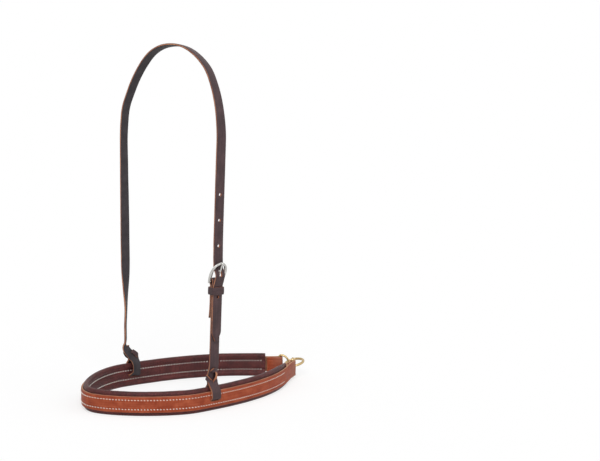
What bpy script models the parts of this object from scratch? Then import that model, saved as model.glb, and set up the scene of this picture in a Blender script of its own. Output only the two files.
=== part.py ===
"""Padded tie-down noseband with its crown strap, cheek buckle and chin ring.

Metres, +Z up. The noseband stands on the lower edge of its lining. The origin is on the
floor under the middle of the nose, +X runs back to the chin, and -Y is the buckle side.
"""
import math

import bmesh
import bpy
from mathutils import Matrix, Vector

# Plan of the band, along the middle of the lining's thickness
NOSE_TO_WIDEST = 0.117
HALF_WIDTH = 0.0994
NOSE_BEND = 0.0385
WIDEST_BEND_FRONT = 0.045
WIDEST_BEND_REAR = 0.170
NOSE_TO_FOLD = 0.350
FOLD_HALF_GAP = 0.015
FOLD_ANGLE = math.radians(24)
FOLD_BEND = 0.0385
NEAR_SLOT_FROM_NOSE = 0.189
FAR_SLOT_FROM_NOSE = 0.1815
PLAN_STEPS = 28
BEND_WEIGHT = 0.11

# Lining: a leather cover over two edge cords and a middle pad
LINING_WIDTH = 0.0355
LINING_FLAT = 0.0005
NEAR_LINING_TO_FOLD = 0.034
FAR_LINING_TO_FOLD = 0.022
COVER_THICKNESS = 0.0014
COVER_FRONT = 0.0032
ROLL_RADIUS = 0.0042
ROLL_SHIFT = 0.0010
SEAM_SPACING = 0.0135
SEAM_PINCH = 0.0026
PAD_BULGE = 0.0036
COVER_LIP_GAP = 0.0030

# Nose strap
NOSE_STRAP_WIDTH = 0.0235
NOSE_STRAP_THICKNESS = 0.0030
TURN_BACK_LENGTH = 0.0195

# Crown strap and hanger
STRAP_WIDTH = 0.0159
STRAP_THICKNESS = 0.0028
FAR_STRAP_BEFORE_SLOT = 0.0061
FAR_STRAP_Y = 0.103
FAR_STRAP_TOP_Z = 0.372
NEAR_STRAP_TOP_Z = 0.392
ARCH_COURSE = (
    (0.1008, 0.4000),
    (0.0968, 0.4200),
    (0.0875, 0.4400),
    (0.0733, 0.4645),
    (0.0563, 0.4860),
    (0.0370, 0.5035),
    (0.0130, 0.5140),
    (-0.0145, 0.5172),
    (-0.0380, 0.5130),
    (-0.0600, 0.5020),
    (-0.0775, 0.4865),
    (-0.0885, 0.4670),
    (-0.0955, 0.4475),
    (-0.0995, 0.4300),
    (-0.1018, 0.4120),
)
ARCH_LEAD = 0.030
ARCH_TILT = math.radians(11)
ARCH_TILT_SKEW = 1.36
ARCH_FAR_YAW = math.radians(17)
FAR_STRAP_YAW = math.radians(8)
FAR_KNOT_YAW = math.radians(52)
LOWER_TWIST_FROM_Z = 0.108
LOWER_TWIST_HEIGHT = 0.085
UPPER_TWIST_FROM_Z = 0.240
UPPER_TWIST_HEIGHT = 0.130
HANGER_LEAN = math.radians(2.6)
KNOT_Z = 0.048
KNOT_HEIGHT = 0.013
KNOT_OFFSET = 0.0014
FAR_KNOT_OFFSET = 0.0028
SWING_ROOM_OUTER = 0.0016
SWING_ROOM_INNER = 0.0007
SLOT_LENGTH = 0.0172
SLOT_HEIGHT = 0.0053

# Buckle, keeper and billet, as heights above the floor on the buckle side
BAR_Z = 0.188
BAR_RADIUS = 0.0017
BUCKLE_HALF_WIDTH = 0.0150
BUCKLE_INNER_HALF_WIDTH = 0.0092
BUCKLE_HEIGHT = 0.0302
BUCKLE_BOW_WIDTH = 0.0050
BUCKLE_FOOT_WIDTH = 0.0034
BUCKLE_THICKNESS = 0.0026
BUCKLE_TILT = math.radians(24)
TONGUE_RADIUS = 0.0011
TONGUE_SLOT_WIDTH = 0.0036
KEEPER_BELOW_BAR = 0.0138
KEEPER_HEIGHT = 0.0110
KEEPER_THICKNESS = 0.0020
CHAPE_END_Z = 0.135
BILLET_TIP_Z = 0.101
BILLET_POINT_LENGTH = 0.0145
BILLET_POINT_WIDTHS = ((0.75, 0.87), (0.08, 0.34), (0.0, 0.22))
BILLET_CURVE_HEIGHT = 0.057
BILLET_CURVE_STEP = 0.0030
BILLET_CURVE_STEPS = 20
HOLE_PITCH = 0.0365
HOLE_RADIUS = 0.0023
TONGUE_HOLE_ABOVE_BAR = 0.0142
TONGUE_HOLE_LENGTH = 0.0096
TONGUE_HOLE_DROP = 0.0022
HOLES_ABOVE = 3
HOLES_BELOW = 1

# Chin fittings
DEE_WIRE_RADIUS = 0.0016
DEE_DEPTH = 0.0150
RING_RADIUS = 0.0140
RING_WIRE_RADIUS = 0.0019
RING_CENTRE_Z = 0.0205
RING_TILT = math.radians(14)
RING_IN_DEE = 0.0104
DEE_TURN = math.radians(22)

# Thread and general clearances
THREAD_RADIUS = 0.00045
THREAD_END_INSET = 0.004
GAP = 0.0003
EDGE_ROUNDING = 0.0005
UNION_SINK = 0.0004

BAND_MID_Z = LINING_WIDTH / 2 - LINING_FLAT
KEEPER_Z = BAR_Z - KEEPER_BELOW_BAR
TONGUE_HOLE_Z = BAR_Z + TONGUE_HOLE_ABOVE_BAR
STRAP_FACE_N = COVER_FRONT + GAP + NOSE_STRAP_THICKNESS
NOSE_STRAP_N = COVER_FRONT + GAP + NOSE_STRAP_THICKNESS / 2
FOLD_RADIUS = DEE_WIRE_RADIUS + GAP + NOSE_STRAP_THICKNESS / 2
FOLD_N = NOSE_STRAP_N - FOLD_RADIUS
LAYER_PITCH = STRAP_THICKNESS + GAP
UP = Vector((0, 0, 1))

for old in list(bpy.data.objects):
    bpy.data.objects.remove(old, do_unlink=True)

parts = bpy.data.collections.new("noseband")
cutters = bpy.data.collections.new("cutters")
bpy.context.scene.collection.children.link(parts)
bpy.context.scene.collection.children.link(cutters)


def make_material(name, colour, roughness, metallic=0.0):
    """A plain Principled finish."""
    material = bpy.data.materials.new(name)
    material.use_nodes = True
    shader = material.node_tree.nodes["Principled BSDF"]
    shader.inputs["Base Color"].default_value = (*colour, 1.0)
    shader.inputs["Roughness"].default_value = roughness
    shader.inputs["Metallic"].default_value = metallic
    return material


RUSSET = make_material("russet_harness_leather", (0.42, 0.13, 0.06), 0.45)
LATIGO = make_material("dark_latigo_leather", (0.075, 0.035, 0.036), 0.5)
BURGUNDY = make_material("burgundy_lining_leather", (0.11, 0.035, 0.03), 0.5)
FELT = make_material("padding_felt", (0.55, 0.50, 0.42), 0.95)
THREAD = make_material("waxed_thread", (0.85, 0.80, 0.70), 0.7)
BRASS = make_material("solid_brass", (0.70, 0.47, 0.17), 0.3, 1.0)
STEEL = make_material("stainless_steel", (0.58, 0.57, 0.55), 0.28, 1.0)


# Plan curve of the band

def cubic(p0, p1, p2, p3, t):
    """Point of a cubic Bezier at t."""
    s = 1 - t
    return p0 * s ** 3 + p1 * 3 * s * s * t + p2 * 3 * s * t * t + p3 * t ** 3


def plan_half():
    """Dense points of the far half of the plan, from the nose to the fold."""
    nose = Vector((0, 0))
    widest = Vector((NOSE_TO_WIDEST, HALF_WIDTH))
    fold = Vector((NOSE_TO_FOLD, FOLD_HALF_GAP))
    run = Vector((math.cos(FOLD_ANGLE), -math.sin(FOLD_ANGLE)))
    front = (nose, nose + Vector((0, NOSE_BEND)), widest - Vector((WIDEST_BEND_FRONT, 0)), widest)
    rear = (widest, widest + Vector((WIDEST_BEND_REAR, 0)), fold - run * FOLD_BEND, fold)
    dense = 200
    points = [cubic(*front, k / dense) for k in range(dense)]
    points += [cubic(*rear, k / dense) for k in range(dense + 1)]
    return points


HALF = plan_half()
ARCS = [0.0]
for first, second in zip(HALF, HALF[1:]):
    ARCS.append(ARCS[-1] + (second - first).length)
HALF_LENGTH = ARCS[-1]
LINING_ENDS = (HALF_LENGTH - NEAR_LINING_TO_FOLD, HALF_LENGTH - FAR_LINING_TO_FOLD)
STATION_END = min(LINING_ENDS)


def plan_at(arc):
    """Point, direction away from the nose and outward normal at a signed arc length.

    Positive lengths run along the far side, negative ones along the buckle side.
    """
    side = 1 if arc >= 0 else -1
    arc = min(abs(arc), HALF_LENGTH)
    k = 0
    while k < len(ARCS) - 2 and ARCS[k + 1] < arc:
        k += 1
    share = (arc - ARCS[k]) / (ARCS[k + 1] - ARCS[k])
    point = HALF[k].lerp(HALF[k + 1], share)
    low = HALF[max(k - 1, 0)]
    high = HALF[min(k + 2, len(HALF) - 1)]
    run = (high - low).normalized()
    if arc < 1e-9:
        run = Vector((0, 1))
    normal = Vector((-run.y, run.x))
    return (Vector((point.x, side * point.y)), Vector((run.x, side * run.y)),
            Vector((normal.x, side * normal.y)))


def side_arcs():
    """Arc lengths of the stations on one side of the lining, closer together in the bends."""
    weights = [0.0]
    for k in range(1, len(HALF)):
        turn = 0.0
        if k > 1:
            turn = abs((HALF[k] - HALF[k - 1]).angle_signed(HALF[k - 1] - HALF[k - 2]))
        weights.append(weights[-1] + ARCS[k] - ARCS[k - 1] + BEND_WEIGHT * turn)
    last = next(k for k, arc in enumerate(ARCS) if arc >= STATION_END)
    stations = []
    k = 0
    for step in range(PLAN_STEPS):
        while weights[k] < weights[last] * (step + 0.5) / PLAN_STEPS:
            k += 1
        stations.append(ARCS[k])
    return stations + [STATION_END]


SIDE_ARCS = side_arcs()


def lining_limits(inset=0.0):
    """Near and far arc lengths where the lining ends, less an inset."""
    return [end - inset for end in LINING_ENDS]


def side_stations(limit):
    """Station arc lengths on one side, up to a limit."""
    beyond = [max(LINING_ENDS), (max(LINING_ENDS) + HALF_LENGTH) / 2]
    near_limit = 0.0015
    return [arc for arc in SIDE_ARCS + beyond if arc < limit - near_limit] + [limit]


def band_arcs(limits):
    """Signed arc lengths from the near limit to the far one, with a flat step across the nose.

    Every piece of the band has its stations at the same places, so that layers stay parallel.
    """
    near, far = limits
    return [-arc for arc in reversed(side_stations(near))] + side_stations(far)


def band_path(limits, offset):
    """Plan points at a distance outside the middle of the lining."""
    path = []
    for arc in band_arcs(limits):
        point, _, normal = plan_at(arc)
        path.append(point + normal * offset)
    return path


# Makers

def add_object(name, data, material, collection=parts):
    """Link a new object with its material."""
    item = bpy.data.objects.new(name, data)
    collection.objects.link(item)
    if material is not None:
        data.materials.clear()
        data.materials.append(material)
    return item


def hide_helper(item):
    """Mark a cutter or a piece that is only joined to another."""
    item.hide_render = True
    item.display_type = "WIRE"
    return item


def curve_object(name, paths, cyclic=False, plane="3D"):
    """A poly curve through the given points."""
    curve = bpy.data.curves.new(name, "CURVE")
    curve.dimensions = plane
    for path in paths:
        spline = curve.splines.new("POLY")
        spline.points.add(len(path) - 1)
        for spot, point in zip(spline.points, path):
            z = point[2] if len(point) > 2 else 0.0
            spot.co = (point[0], point[1], z, 1.0)
        spline.use_cyclic_u = cyclic
    item = bpy.data.objects.new(name, curve)
    parts.objects.link(item)
    return item


def to_mesh(item, material, collection=parts):
    """Replace a curve object by a welded mesh object of the same name."""
    bpy.context.view_layer.update()
    evaluated = item.evaluated_get(bpy.context.evaluated_depsgraph_get())
    mesh = bpy.data.meshes.new_from_object(evaluated)
    name = item.name
    matrix = item.matrix_world.copy()
    curve = item.data
    bpy.data.objects.remove(item, do_unlink=True)
    bpy.data.curves.remove(curve)
    shape = bmesh.new()
    shape.from_mesh(mesh)
    bmesh.ops.remove_doubles(shape, verts=shape.verts, dist=1e-6)
    bmesh.ops.recalc_face_normals(shape, faces=shape.faces)
    shape.to_mesh(mesh)
    shape.free()
    mesh.name = name
    result = add_object(name, mesh, material, collection)
    result.matrix_world = matrix
    return result


def thicken(item, thickness, rounding=EDGE_ROUNDING):
    """Give an open surface its thickness and ease its long edges."""
    solid = item.modifiers.new("thickness", "SOLIDIFY")
    solid.thickness = thickness
    solid.offset = 0
    solid.use_even_offset = True
    if rounding:
        bevel = item.modifiers.new("eased_edges", "BEVEL")
        bevel.width = rounding
        bevel.segments = 1
        bevel.limit_method = "ANGLE"
        bevel.angle_limit = math.radians(60)
    return item


def strap_on_edge(name, path, width, thickness, material, cyclic=False, collection=parts,
                  rounding=EDGE_ROUNDING):
    """A strap that stands on edge along a path in its own XY plane, its width along Z."""
    item = curve_object(name, [path], cyclic, "2D")
    item.data.extrude = width / 2
    item.data.fill_mode = "NONE" if cyclic else "BOTH"
    return thicken(to_mesh(item, material, collection), thickness, rounding)


def wire(name, path, radius, material, sides=2, cyclic=False):
    """A round wire or thread along a path."""
    item = curve_object(name, [path], cyclic)
    item.data.bevel_depth = radius
    item.data.bevel_resolution = sides
    item.data.use_fill_caps = not cyclic
    return to_mesh(item, material)


def boolean(item, other, operation):
    """Cut, or join, another object from or to this one."""
    modifier = item.modifiers.new(operation.lower() + "_" + other.name, "BOOLEAN")
    modifier.operation = operation
    modifier.solver = "EXACT"
    modifier.object = other


def box_cutter(name, size, matrix):
    """A box for cutting, centred on its own origin."""
    mesh = bpy.data.meshes.new(name)
    shape = bmesh.new()
    bmesh.ops.create_cube(shape, size=1.0)
    bmesh.ops.scale(shape, vec=size, verts=shape.verts)
    shape.to_mesh(mesh)
    shape.free()
    item = hide_helper(add_object(name, mesh, None, cutters))
    item.matrix_world = matrix
    return item


def rod(name, radius, length, matrix, sides, material=None, collection=cutters):
    """A cylinder along its own Z axis."""
    mesh = bpy.data.meshes.new(name)
    shape = bmesh.new()
    bmesh.ops.create_cone(shape, cap_ends=True, segments=sides, radius1=radius, radius2=radius,
                          depth=length)
    shape.to_mesh(mesh)
    shape.free()
    item = add_object(name, mesh, material, collection)
    item.matrix_world = matrix
    return item


def pivot(name, place, carried):
    """An empty on a joint's axis, with the pieces that turn about it."""
    empty = bpy.data.objects.new(name, None)
    empty.empty_display_size = 0.02
    empty.location = place
    parts.objects.link(empty)
    for item in carried:
        item.parent = empty
        item.matrix_parent_inverse = Matrix.Translation(place).inverted()
    return empty


def axes_matrix(x_axis, y_axis, z_axis, place):
    """A placement whose columns are the given axes."""
    matrix = Matrix((x_axis, y_axis, z_axis)).transposed().to_4x4()
    matrix.translation = place
    return matrix


def swept_band(name, profile, limits, material, closed):
    """Sweep a section of (outward, height) points along the band."""
    path = band_arcs(limits)
    mesh = bpy.data.meshes.new(name)
    shape = bmesh.new()
    rows = []
    for arc in path:
        point, _, normal = plan_at(arc)
        row = []
        for outward, height in profile:
            place = point + normal * outward
            row.append(shape.verts.new((place.x, place.y, BAND_MID_Z + height)))
        rows.append(row)
    count = len(profile)
    for row, following in zip(rows, rows[1:]):
        for k in range(count if closed else count - 1):
            m = (k + 1) % count
            shape.faces.new((row[k], row[m], following[m], following[k]))
    if closed:
        shape.faces.new(rows[0])
        shape.faces.new(rows[-1])
    bmesh.ops.recalc_face_normals(shape, faces=shape.faces)
    shape.to_mesh(mesh)
    shape.free()
    return add_object(name, mesh, material)


# Slots and the straps' places on the band

def side_frame(side):
    """Slot point, direction to the chin and outward normal on one side of the band."""
    from_nose = FAR_SLOT_FROM_NOSE if side > 0 else NEAR_SLOT_FROM_NOSE
    point, run, normal = plan_at(side * from_nose)
    return point.to_3d(), run.to_3d(), normal.to_3d()


def slot_cutter(side, label):
    """The box that cuts one strap slot through the band."""
    point, run, normal = side_frame(side)
    place = point + UP * BAND_MID_Z
    depth = 0.05
    return box_cutter(label + "_slot_cut", (SLOT_LENGTH, depth, SLOT_HEIGHT),
                      axes_matrix(run, normal, run.cross(normal), place))


# Band pieces

def half_section(top_degrees):
    """Outer face of the cover's upper half, from its lip over the roll to the pad."""
    centre_h = LINING_WIDTH / 2 - ROLL_RADIUS
    section = [(COVER_FRONT, COVER_LIP_GAP / 2), (COVER_FRONT, centre_h)]
    for degrees in [30] + top_degrees + [150, 180, 210]:
        angle = math.radians(degrees)
        section.append((-ROLL_SHIFT + ROLL_RADIUS * math.cos(angle),
                        centre_h + ROLL_RADIUS * math.sin(angle)))
    section.append((-SEAM_PINCH, SEAM_SPACING / 2))
    section.append((-(SEAM_PINCH + PAD_BULGE) / 2, SEAM_SPACING * 0.32))
    return section


def cover_section():
    """Outer face of the lining's cover, from the upper lip over the back to the lower lip."""
    flat = math.degrees(math.acos(1 - LINING_FLAT / ROLL_RADIUS))
    upper = half_section([60, 90, 120])
    lower = half_section([90 - flat, 90 + flat])
    return upper + [(-PAD_BULGE, 0.0)] + [(n, -h) for n, h in reversed(lower)]


def build_lining(slots):
    """The cover, its two edge cords and its middle pad."""
    cover = swept_band("noseband_lining", cover_section(), lining_limits(), BURGUNDY, False)
    solid = cover.modifiers.new("thickness", "SOLIDIFY")
    solid.thickness = COVER_THICKNESS
    solid.offset = -1
    solid.use_even_offset = True
    cord_radius = ROLL_RADIUS - COVER_THICKNESS - 2 * GAP
    cord_inset = 0.002
    centre_h = LINING_WIDTH / 2 - ROLL_RADIUS
    for label, sign in (("upper", 1), ("lower", -1)):
        section = []
        for k in range(8):
            angle = math.radians(22.5 + 45 * k)
            height = sign * centre_h + cord_radius * math.sin(angle)
            if sign < 0:
                height = max(height, -LINING_WIDTH / 2 + LINING_FLAT + COVER_THICKNESS + 2 * GAP)
            section.append((-ROLL_SHIFT + cord_radius * math.cos(angle), height))
        swept_band(label + "_edge_cord", section, lining_limits(cord_inset), FELT, True)
    front = COVER_FRONT - COVER_THICKNESS - GAP
    back = PAD_BULGE - COVER_THICKNESS - GAP
    pinch = SEAM_PINCH - COVER_THICKNESS - GAP
    half = SEAM_SPACING / 2 - THREAD_RADIUS - GAP
    section = [(front, half), (-pinch, half), (-back, 0.0), (-pinch, -half), (front, -half)]
    pad = swept_band("middle_pad", section, lining_limits(cord_inset), FELT, True)
    for slot in slots:
        boolean(cover, slot, "DIFFERENCE")
        boolean(pad, slot, "DIFFERENCE")


def fold_path(side):
    """Plan points of the strap's end: round the dee's bar and back along its inner side."""
    point, run, normal = plan_at(side * HALF_LENGTH)
    bar = point + normal * FOLD_N
    path = []
    for degrees in range(90, -106, -15):
        angle = math.radians(degrees)
        path.append(bar + run * FOLD_RADIUS * math.cos(angle) + normal * FOLD_RADIUS * math.sin(angle))
    turned_n = NOSE_STRAP_N - NOSE_STRAP_THICKNESS - GAP - 0.0002
    low = (path[-1] - point).dot(normal)
    start = (path[-1] - point).dot(run)
    pinch_length = 0.012
    steps = 8
    for k in range(1, steps + 1):
        back = start + (-TURN_BACK_LENGTH - start) * k / steps
        share = min((start - back) / (pinch_length + start), 1.0)
        ease = share * share * (3 - 2 * share)
        place, _, bent = plan_at(side * (HALF_LENGTH + back))
        path.append(place + bent * (low + (turned_n - low) * ease))
    return path


def build_nose_strap(slots):
    """The russet strap with both ends folded round the dees."""
    main = band_path([HALF_LENGTH - 0.002] * 2, NOSE_STRAP_N)
    near_end = fold_path(-1)
    far_end = fold_path(1)
    path = list(reversed(near_end)) + main + far_end
    strap = strap_on_edge("nose_strap", path, NOSE_STRAP_WIDTH, NOSE_STRAP_THICKNESS, RUSSET)
    strap.location.z = BAND_MID_Z
    for slot in slots:
        boolean(strap, slot, "DIFFERENCE")


def build_threads():
    """The needle and bobbin threads of the two seams."""
    front = STRAP_FACE_N + GAP + THREAD_RADIUS
    back = -SEAM_PINCH - GAP - THREAD_RADIUS
    limits = lining_limits(THREAD_END_INSET)
    for label, sign in (("upper", 1), ("lower", -1)):
        height = BAND_MID_Z + sign * SEAM_SPACING / 2
        for kind, offset in (("face", front), ("back", back)):
            path = [point.to_3d() + UP * height for point in band_path(limits, offset)]
            wire(label + "_seam_" + kind + "_thread", path, THREAD_RADIUS, THREAD, 0)


# Knots

def loop_path():
    """Path of the strap through its slot, as (outward, height) points: a U round the band."""
    outer = STRAP_FACE_N + SWING_ROOM_OUTER + STRAP_THICKNESS / 2
    inner = -(ROLL_RADIUS + ROLL_SHIFT) - SWING_ROOM_INNER - STRAP_THICKNESS / 2
    shoulder = LINING_WIDTH - LINING_FLAT + 0.0032
    bend = 0.0026
    path = [(KNOT_OFFSET + 0.0015, KNOT_Z + 0.004), (KNOT_OFFSET + 0.0030, KNOT_Z - 0.003),
            (outer - 0.0015, shoulder + 0.001), (outer, shoulder - 0.003)]
    corner_steps = 4
    for k in range(corner_steps + 1):
        angle = math.radians(90 * k / corner_steps)
        path.append((outer - bend + bend * math.cos(angle), BAND_MID_Z + bend - bend * math.sin(angle)))
    for k in range(corner_steps + 1):
        angle = math.radians(90 * k / corner_steps)
        path.append((inner + bend - bend * math.sin(angle), BAND_MID_Z + bend - bend * math.cos(angle)))
    path += [(inner, shoulder - 0.003), (inner + 0.0015, shoulder + 0.001),
             (KNOT_OFFSET - 0.0030, KNOT_Z - 0.003), (KNOT_OFFSET - 0.0015, KNOT_Z + 0.004)]
    return path


def wrap_path(half_t, half_n):
    """Rounded rectangle of the strap's turn round the knot."""
    corner = 0.0022
    path = []
    for quarter, (sign_t, sign_n) in enumerate(((1, 1), (-1, 1), (-1, -1), (1, -1))):
        for k in range(4):
            angle = math.radians(90 * quarter + 30 * k)
            path.append((sign_t * (half_t - corner) + corner * math.cos(angle),
                         sign_n * (half_n - corner) + corner * math.sin(angle)))
    return path


def build_knot(side, label, offset=KNOT_OFFSET):
    """The loop through the slot and the turn round it, to be joined to a strap."""
    point, _, normal = side_frame(side)
    across = normal.cross(UP)
    loop = strap_on_edge(label + "_loop", loop_path(), STRAP_WIDTH, STRAP_THICKNESS, LATIGO,
                         collection=cutters)
    loop.matrix_world = axes_matrix(normal, UP, across, point)
    half_t = STRAP_WIDTH / 2 + STRAP_THICKNESS / 2 - UNION_SINK
    half_n = STRAP_THICKNESS + STRAP_THICKNESS / 2 + 0.0004
    wrap = strap_on_edge(label + "_wrap", wrap_path(half_t, half_n), KNOT_HEIGHT, STRAP_THICKNESS,
                         LATIGO, True, cutters)
    wrap.matrix_world = axes_matrix(across, normal, across.cross(normal),
                                    point + normal * offset + UP * KNOT_Z)
    return hide_helper(loop), hide_helper(wrap)


# Buckle side frame: W across the strap, N outward, L up along the leaning strap

def hanger_frame():
    """Axes and origin of the buckle side's strap."""
    point, run, normal = side_frame(-1)
    across = run * math.cos(HANGER_LEAN) - UP * math.sin(HANGER_LEAN)
    along = UP * math.cos(HANGER_LEAN) + run * math.sin(HANGER_LEAN)
    return point + normal * KNOT_OFFSET + UP * KNOT_Z, across, normal, along


HANGER_ORIGIN, ACROSS, OUTWARD, ALONG = hanger_frame()


def hanger_point(outward, height, across=0.0):
    """World point on the buckle side's strap at a height above the floor."""
    return HANGER_ORIGIN + ACROSS * across + OUTWARD * outward + ALONG * (height - KNOT_Z)


def hanger_matrix(height, tilt=0.0):
    """Placement with X across, Y up along the strap tilted outward, and Z outward."""
    up = ALONG * math.cos(tilt) + OUTWARD * math.sin(tilt)
    out = OUTWARD * math.cos(tilt) - ALONG * math.sin(tilt)
    return axes_matrix(up.cross(out), up, out, hanger_point(0.0, height))


def build_hanger():
    """The hanger strap: turned back over the buckle's bar, down to the knot on the band."""
    layer = LAYER_PITCH / 2
    radius = BAR_RADIUS + GAP + STRAP_THICKNESS / 2
    opening = BAR_Z - 0.0062
    path = [(-layer, CHAPE_END_Z), (-layer, (CHAPE_END_Z + opening) / 2), (-layer, opening - 0.002)]
    path.append((-(layer + radius) / 2, opening + 0.002))
    for degrees in range(200, -21, -20):
        angle = math.radians(degrees)
        path.append((radius * math.cos(angle), BAR_Z + radius * math.sin(angle)))
    path += [((layer + radius) / 2, opening + 0.002), (layer, opening - 0.002),
             (layer, (KNOT_Z + opening) / 2), (layer, KNOT_Z - 0.004)]
    hanger = strap_on_edge("near_hanger", path, STRAP_WIDTH, STRAP_THICKNESS, LATIGO)
    hanger.matrix_world = axes_matrix(OUTWARD, ALONG, OUTWARD.cross(ALONG),
                                      hanger_point(0.0, 0.0))
    slot = box_cutter("chape_slot_cut", (TONGUE_SLOT_WIDTH, 0.0135, 0.014),
                      hanger_matrix(BAR_Z + 0.0008))
    boolean(hanger, slot, "DIFFERENCE")
    knot = build_knot(-1, "near")
    for piece in knot:
        boolean(hanger, piece, "UNION")
    return [hanger, slot, *knot]


# Crown strap

def smooth(share):
    """Ease a share from 0 to 1."""
    share = min(max(share, 0.0), 1.0)
    return share * share * (3 - 2 * share)


BILLET_N = LAYER_PITCH * 1.5
BILLET_COURSE = (
    (0.113, 0.0032),
    (0.057, 0.0032),
    (0.037, 0.0038),
    (0.0235, 0.0046),
    (0.0185, 0.0052),
    (0.0125, 0.0093),
    (0.0085, 0.0104),
    (0.0015, 0.0082),
    (-0.0045, 0.0061),
    (-0.0092, BILLET_N),
    (-0.2, BILLET_N),
)


def billet_outward(height):
    """Distance of the billet's middle outside the hanger's middle at a height."""
    rise = height - BAR_Z
    for (high, high_n), (low, low_n) in zip(BILLET_COURSE, BILLET_COURSE[1:]):
        if rise >= low:
            share = smooth((rise - low) / (high - low))
            return low_n + (high_n - low_n) * share
    return BILLET_N


def arch_points(top, near_top):
    """Smooth course over the poll, from the top of the far strap to that of the near one."""
    marks = [top]
    for sideways, height in ARCH_COURSE:
        share = (top.y - sideways) / (top.y - near_top.y)
        marks.append(Vector((top.x + (near_top.x - top.x) * share, sideways, height)))
    marks.append(near_top)
    points = []
    for k in range(len(marks) - 1):
        before = marks[k - 1] if k else marks[0] - UP * ARCH_LEAD
        after = marks[k + 2] if k + 2 < len(marks) else marks[-1] - ALONG * ARCH_LEAD
        for t in (0.0, 0.5):
            bow = (marks[k + 1] - before) * t
            sag = (before * 2 - marks[k] * 5 + marks[k + 1] * 4 - after) * t * t
            turn = (marks[k] * 3 - before - marks[k + 1] * 3 + after) * t ** 3
            points.append((marks[k] * 2 + bow + sag + turn) / 2)
    return points + [near_top]


def crown_stations():
    """Middle point, direction across and half width at each station of the crown strap."""
    slot_x = side_frame(1)[0].x
    far_across = Vector((math.cos(ARCH_FAR_YAW), math.sin(ARCH_FAR_YAW), 0))
    half = STRAP_WIDTH / 2
    top = Vector((slot_x - FAR_STRAP_BEFORE_SLOT, FAR_STRAP_Y, FAR_STRAP_TOP_Z))
    near_top = hanger_point(BILLET_COURSE[0][1], NEAR_STRAP_TOP_Z)
    stations = []
    far_heights = [KNOT_Z - 0.003, 0.075, 0.108, 0.120, 0.130, 0.140, 0.150, 0.160, 0.170, 0.182,
                   0.194, 0.255, 0.300, 0.345]
    for height in far_heights:
        lower_turn = smooth((height - LOWER_TWIST_FROM_Z) / LOWER_TWIST_HEIGHT)
        upper_turn = smooth((height - UPPER_TWIST_FROM_Z) / UPPER_TWIST_HEIGHT)
        yaw = FAR_KNOT_YAW + (FAR_STRAP_YAW - FAR_KNOT_YAW) * lower_turn
        yaw += (ARCH_FAR_YAW - FAR_STRAP_YAW) * upper_turn
        place = Vector((top.x, top.y, height))
        stations.append((place, Vector((math.cos(yaw), math.sin(yaw), 0)), half))
    arch = arch_points(top, near_top)
    for k, place in enumerate(arch):
        share = k / (len(arch) - 1)
        tilt = ARCH_TILT * math.sin(math.pi * share ** ARCH_TILT_SKEW)
        along = arch[min(k + 1, len(arch) - 1)] - arch[max(k - 1, 0)]
        level = far_across.lerp(ACROSS, share)
        outward = along.cross(level).normalized()
        stations.append((place, (level * math.cos(tilt) - outward * math.sin(tilt)).normalized(), half))
    curve_top = BAR_Z + BILLET_CURVE_HEIGHT
    straight = [NEAR_STRAP_TOP_Z + (curve_top - NEAR_STRAP_TOP_Z) * k / 3 for k in range(1, 4)]
    curved = [curve_top - 0.010 - BILLET_CURVE_STEP * k for k in range(BILLET_CURVE_STEPS)]
    point_top = BILLET_TIP_Z + BILLET_POINT_LENGTH
    lower = [point_top + (curved[-1] - point_top) * k / 3 for k in (2, 1, 0)]
    for height in straight + curved + lower:
        stations.append((hanger_point(billet_outward(height), height), ACROSS, half))
    for share, width in BILLET_POINT_WIDTHS:
        height = BILLET_TIP_Z + BILLET_POINT_LENGTH * share
        stations.append((hanger_point(BILLET_N, height), ACROSS, half * width))
    return stations


def build_crown():
    """The long strap from the far knot over the poll and down to the punched billet."""
    mesh = bpy.data.meshes.new("crown_strap")
    shape = bmesh.new()
    rows = []
    for place, across, half in crown_stations():
        rows.append((shape.verts.new(place - across * half), shape.verts.new(place + across * half)))
    for (a, b), (c, d) in zip(rows, rows[1:]):
        shape.faces.new((a, b, d, c))
    shape.to_mesh(mesh)
    shape.free()
    strap = thicken(add_object("crown_strap", mesh, LATIGO), STRAP_THICKNESS)
    depth = 0.012
    cuts = []
    for k in range(-HOLES_BELOW, HOLES_ABOVE + 1):
        height = TONGUE_HOLE_Z + k * HOLE_PITCH
        if k == 0:
            height -= TONGUE_HOLE_DROP
        place = hanger_matrix(height)
        place.translation = hanger_point(billet_outward(height), height)
        if k == 0:
            size = (HOLE_RADIUS * 2, TONGUE_HOLE_LENGTH, depth)
            cuts.append(box_cutter("tongue_hole_cut", size, place))
        else:
            cuts.append(hide_helper(rod("billet_hole_cut_%d" % (k + 2), HOLE_RADIUS, depth, place, 12)))
    for cut in cuts:
        boolean(strap, cut, "DIFFERENCE")
    knot = build_knot(1, "far", FAR_KNOT_OFFSET)
    for piece in knot:
        boolean(strap, piece, "UNION")
    return [strap, *cuts, *knot]


# Buckle and keeper

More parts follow.
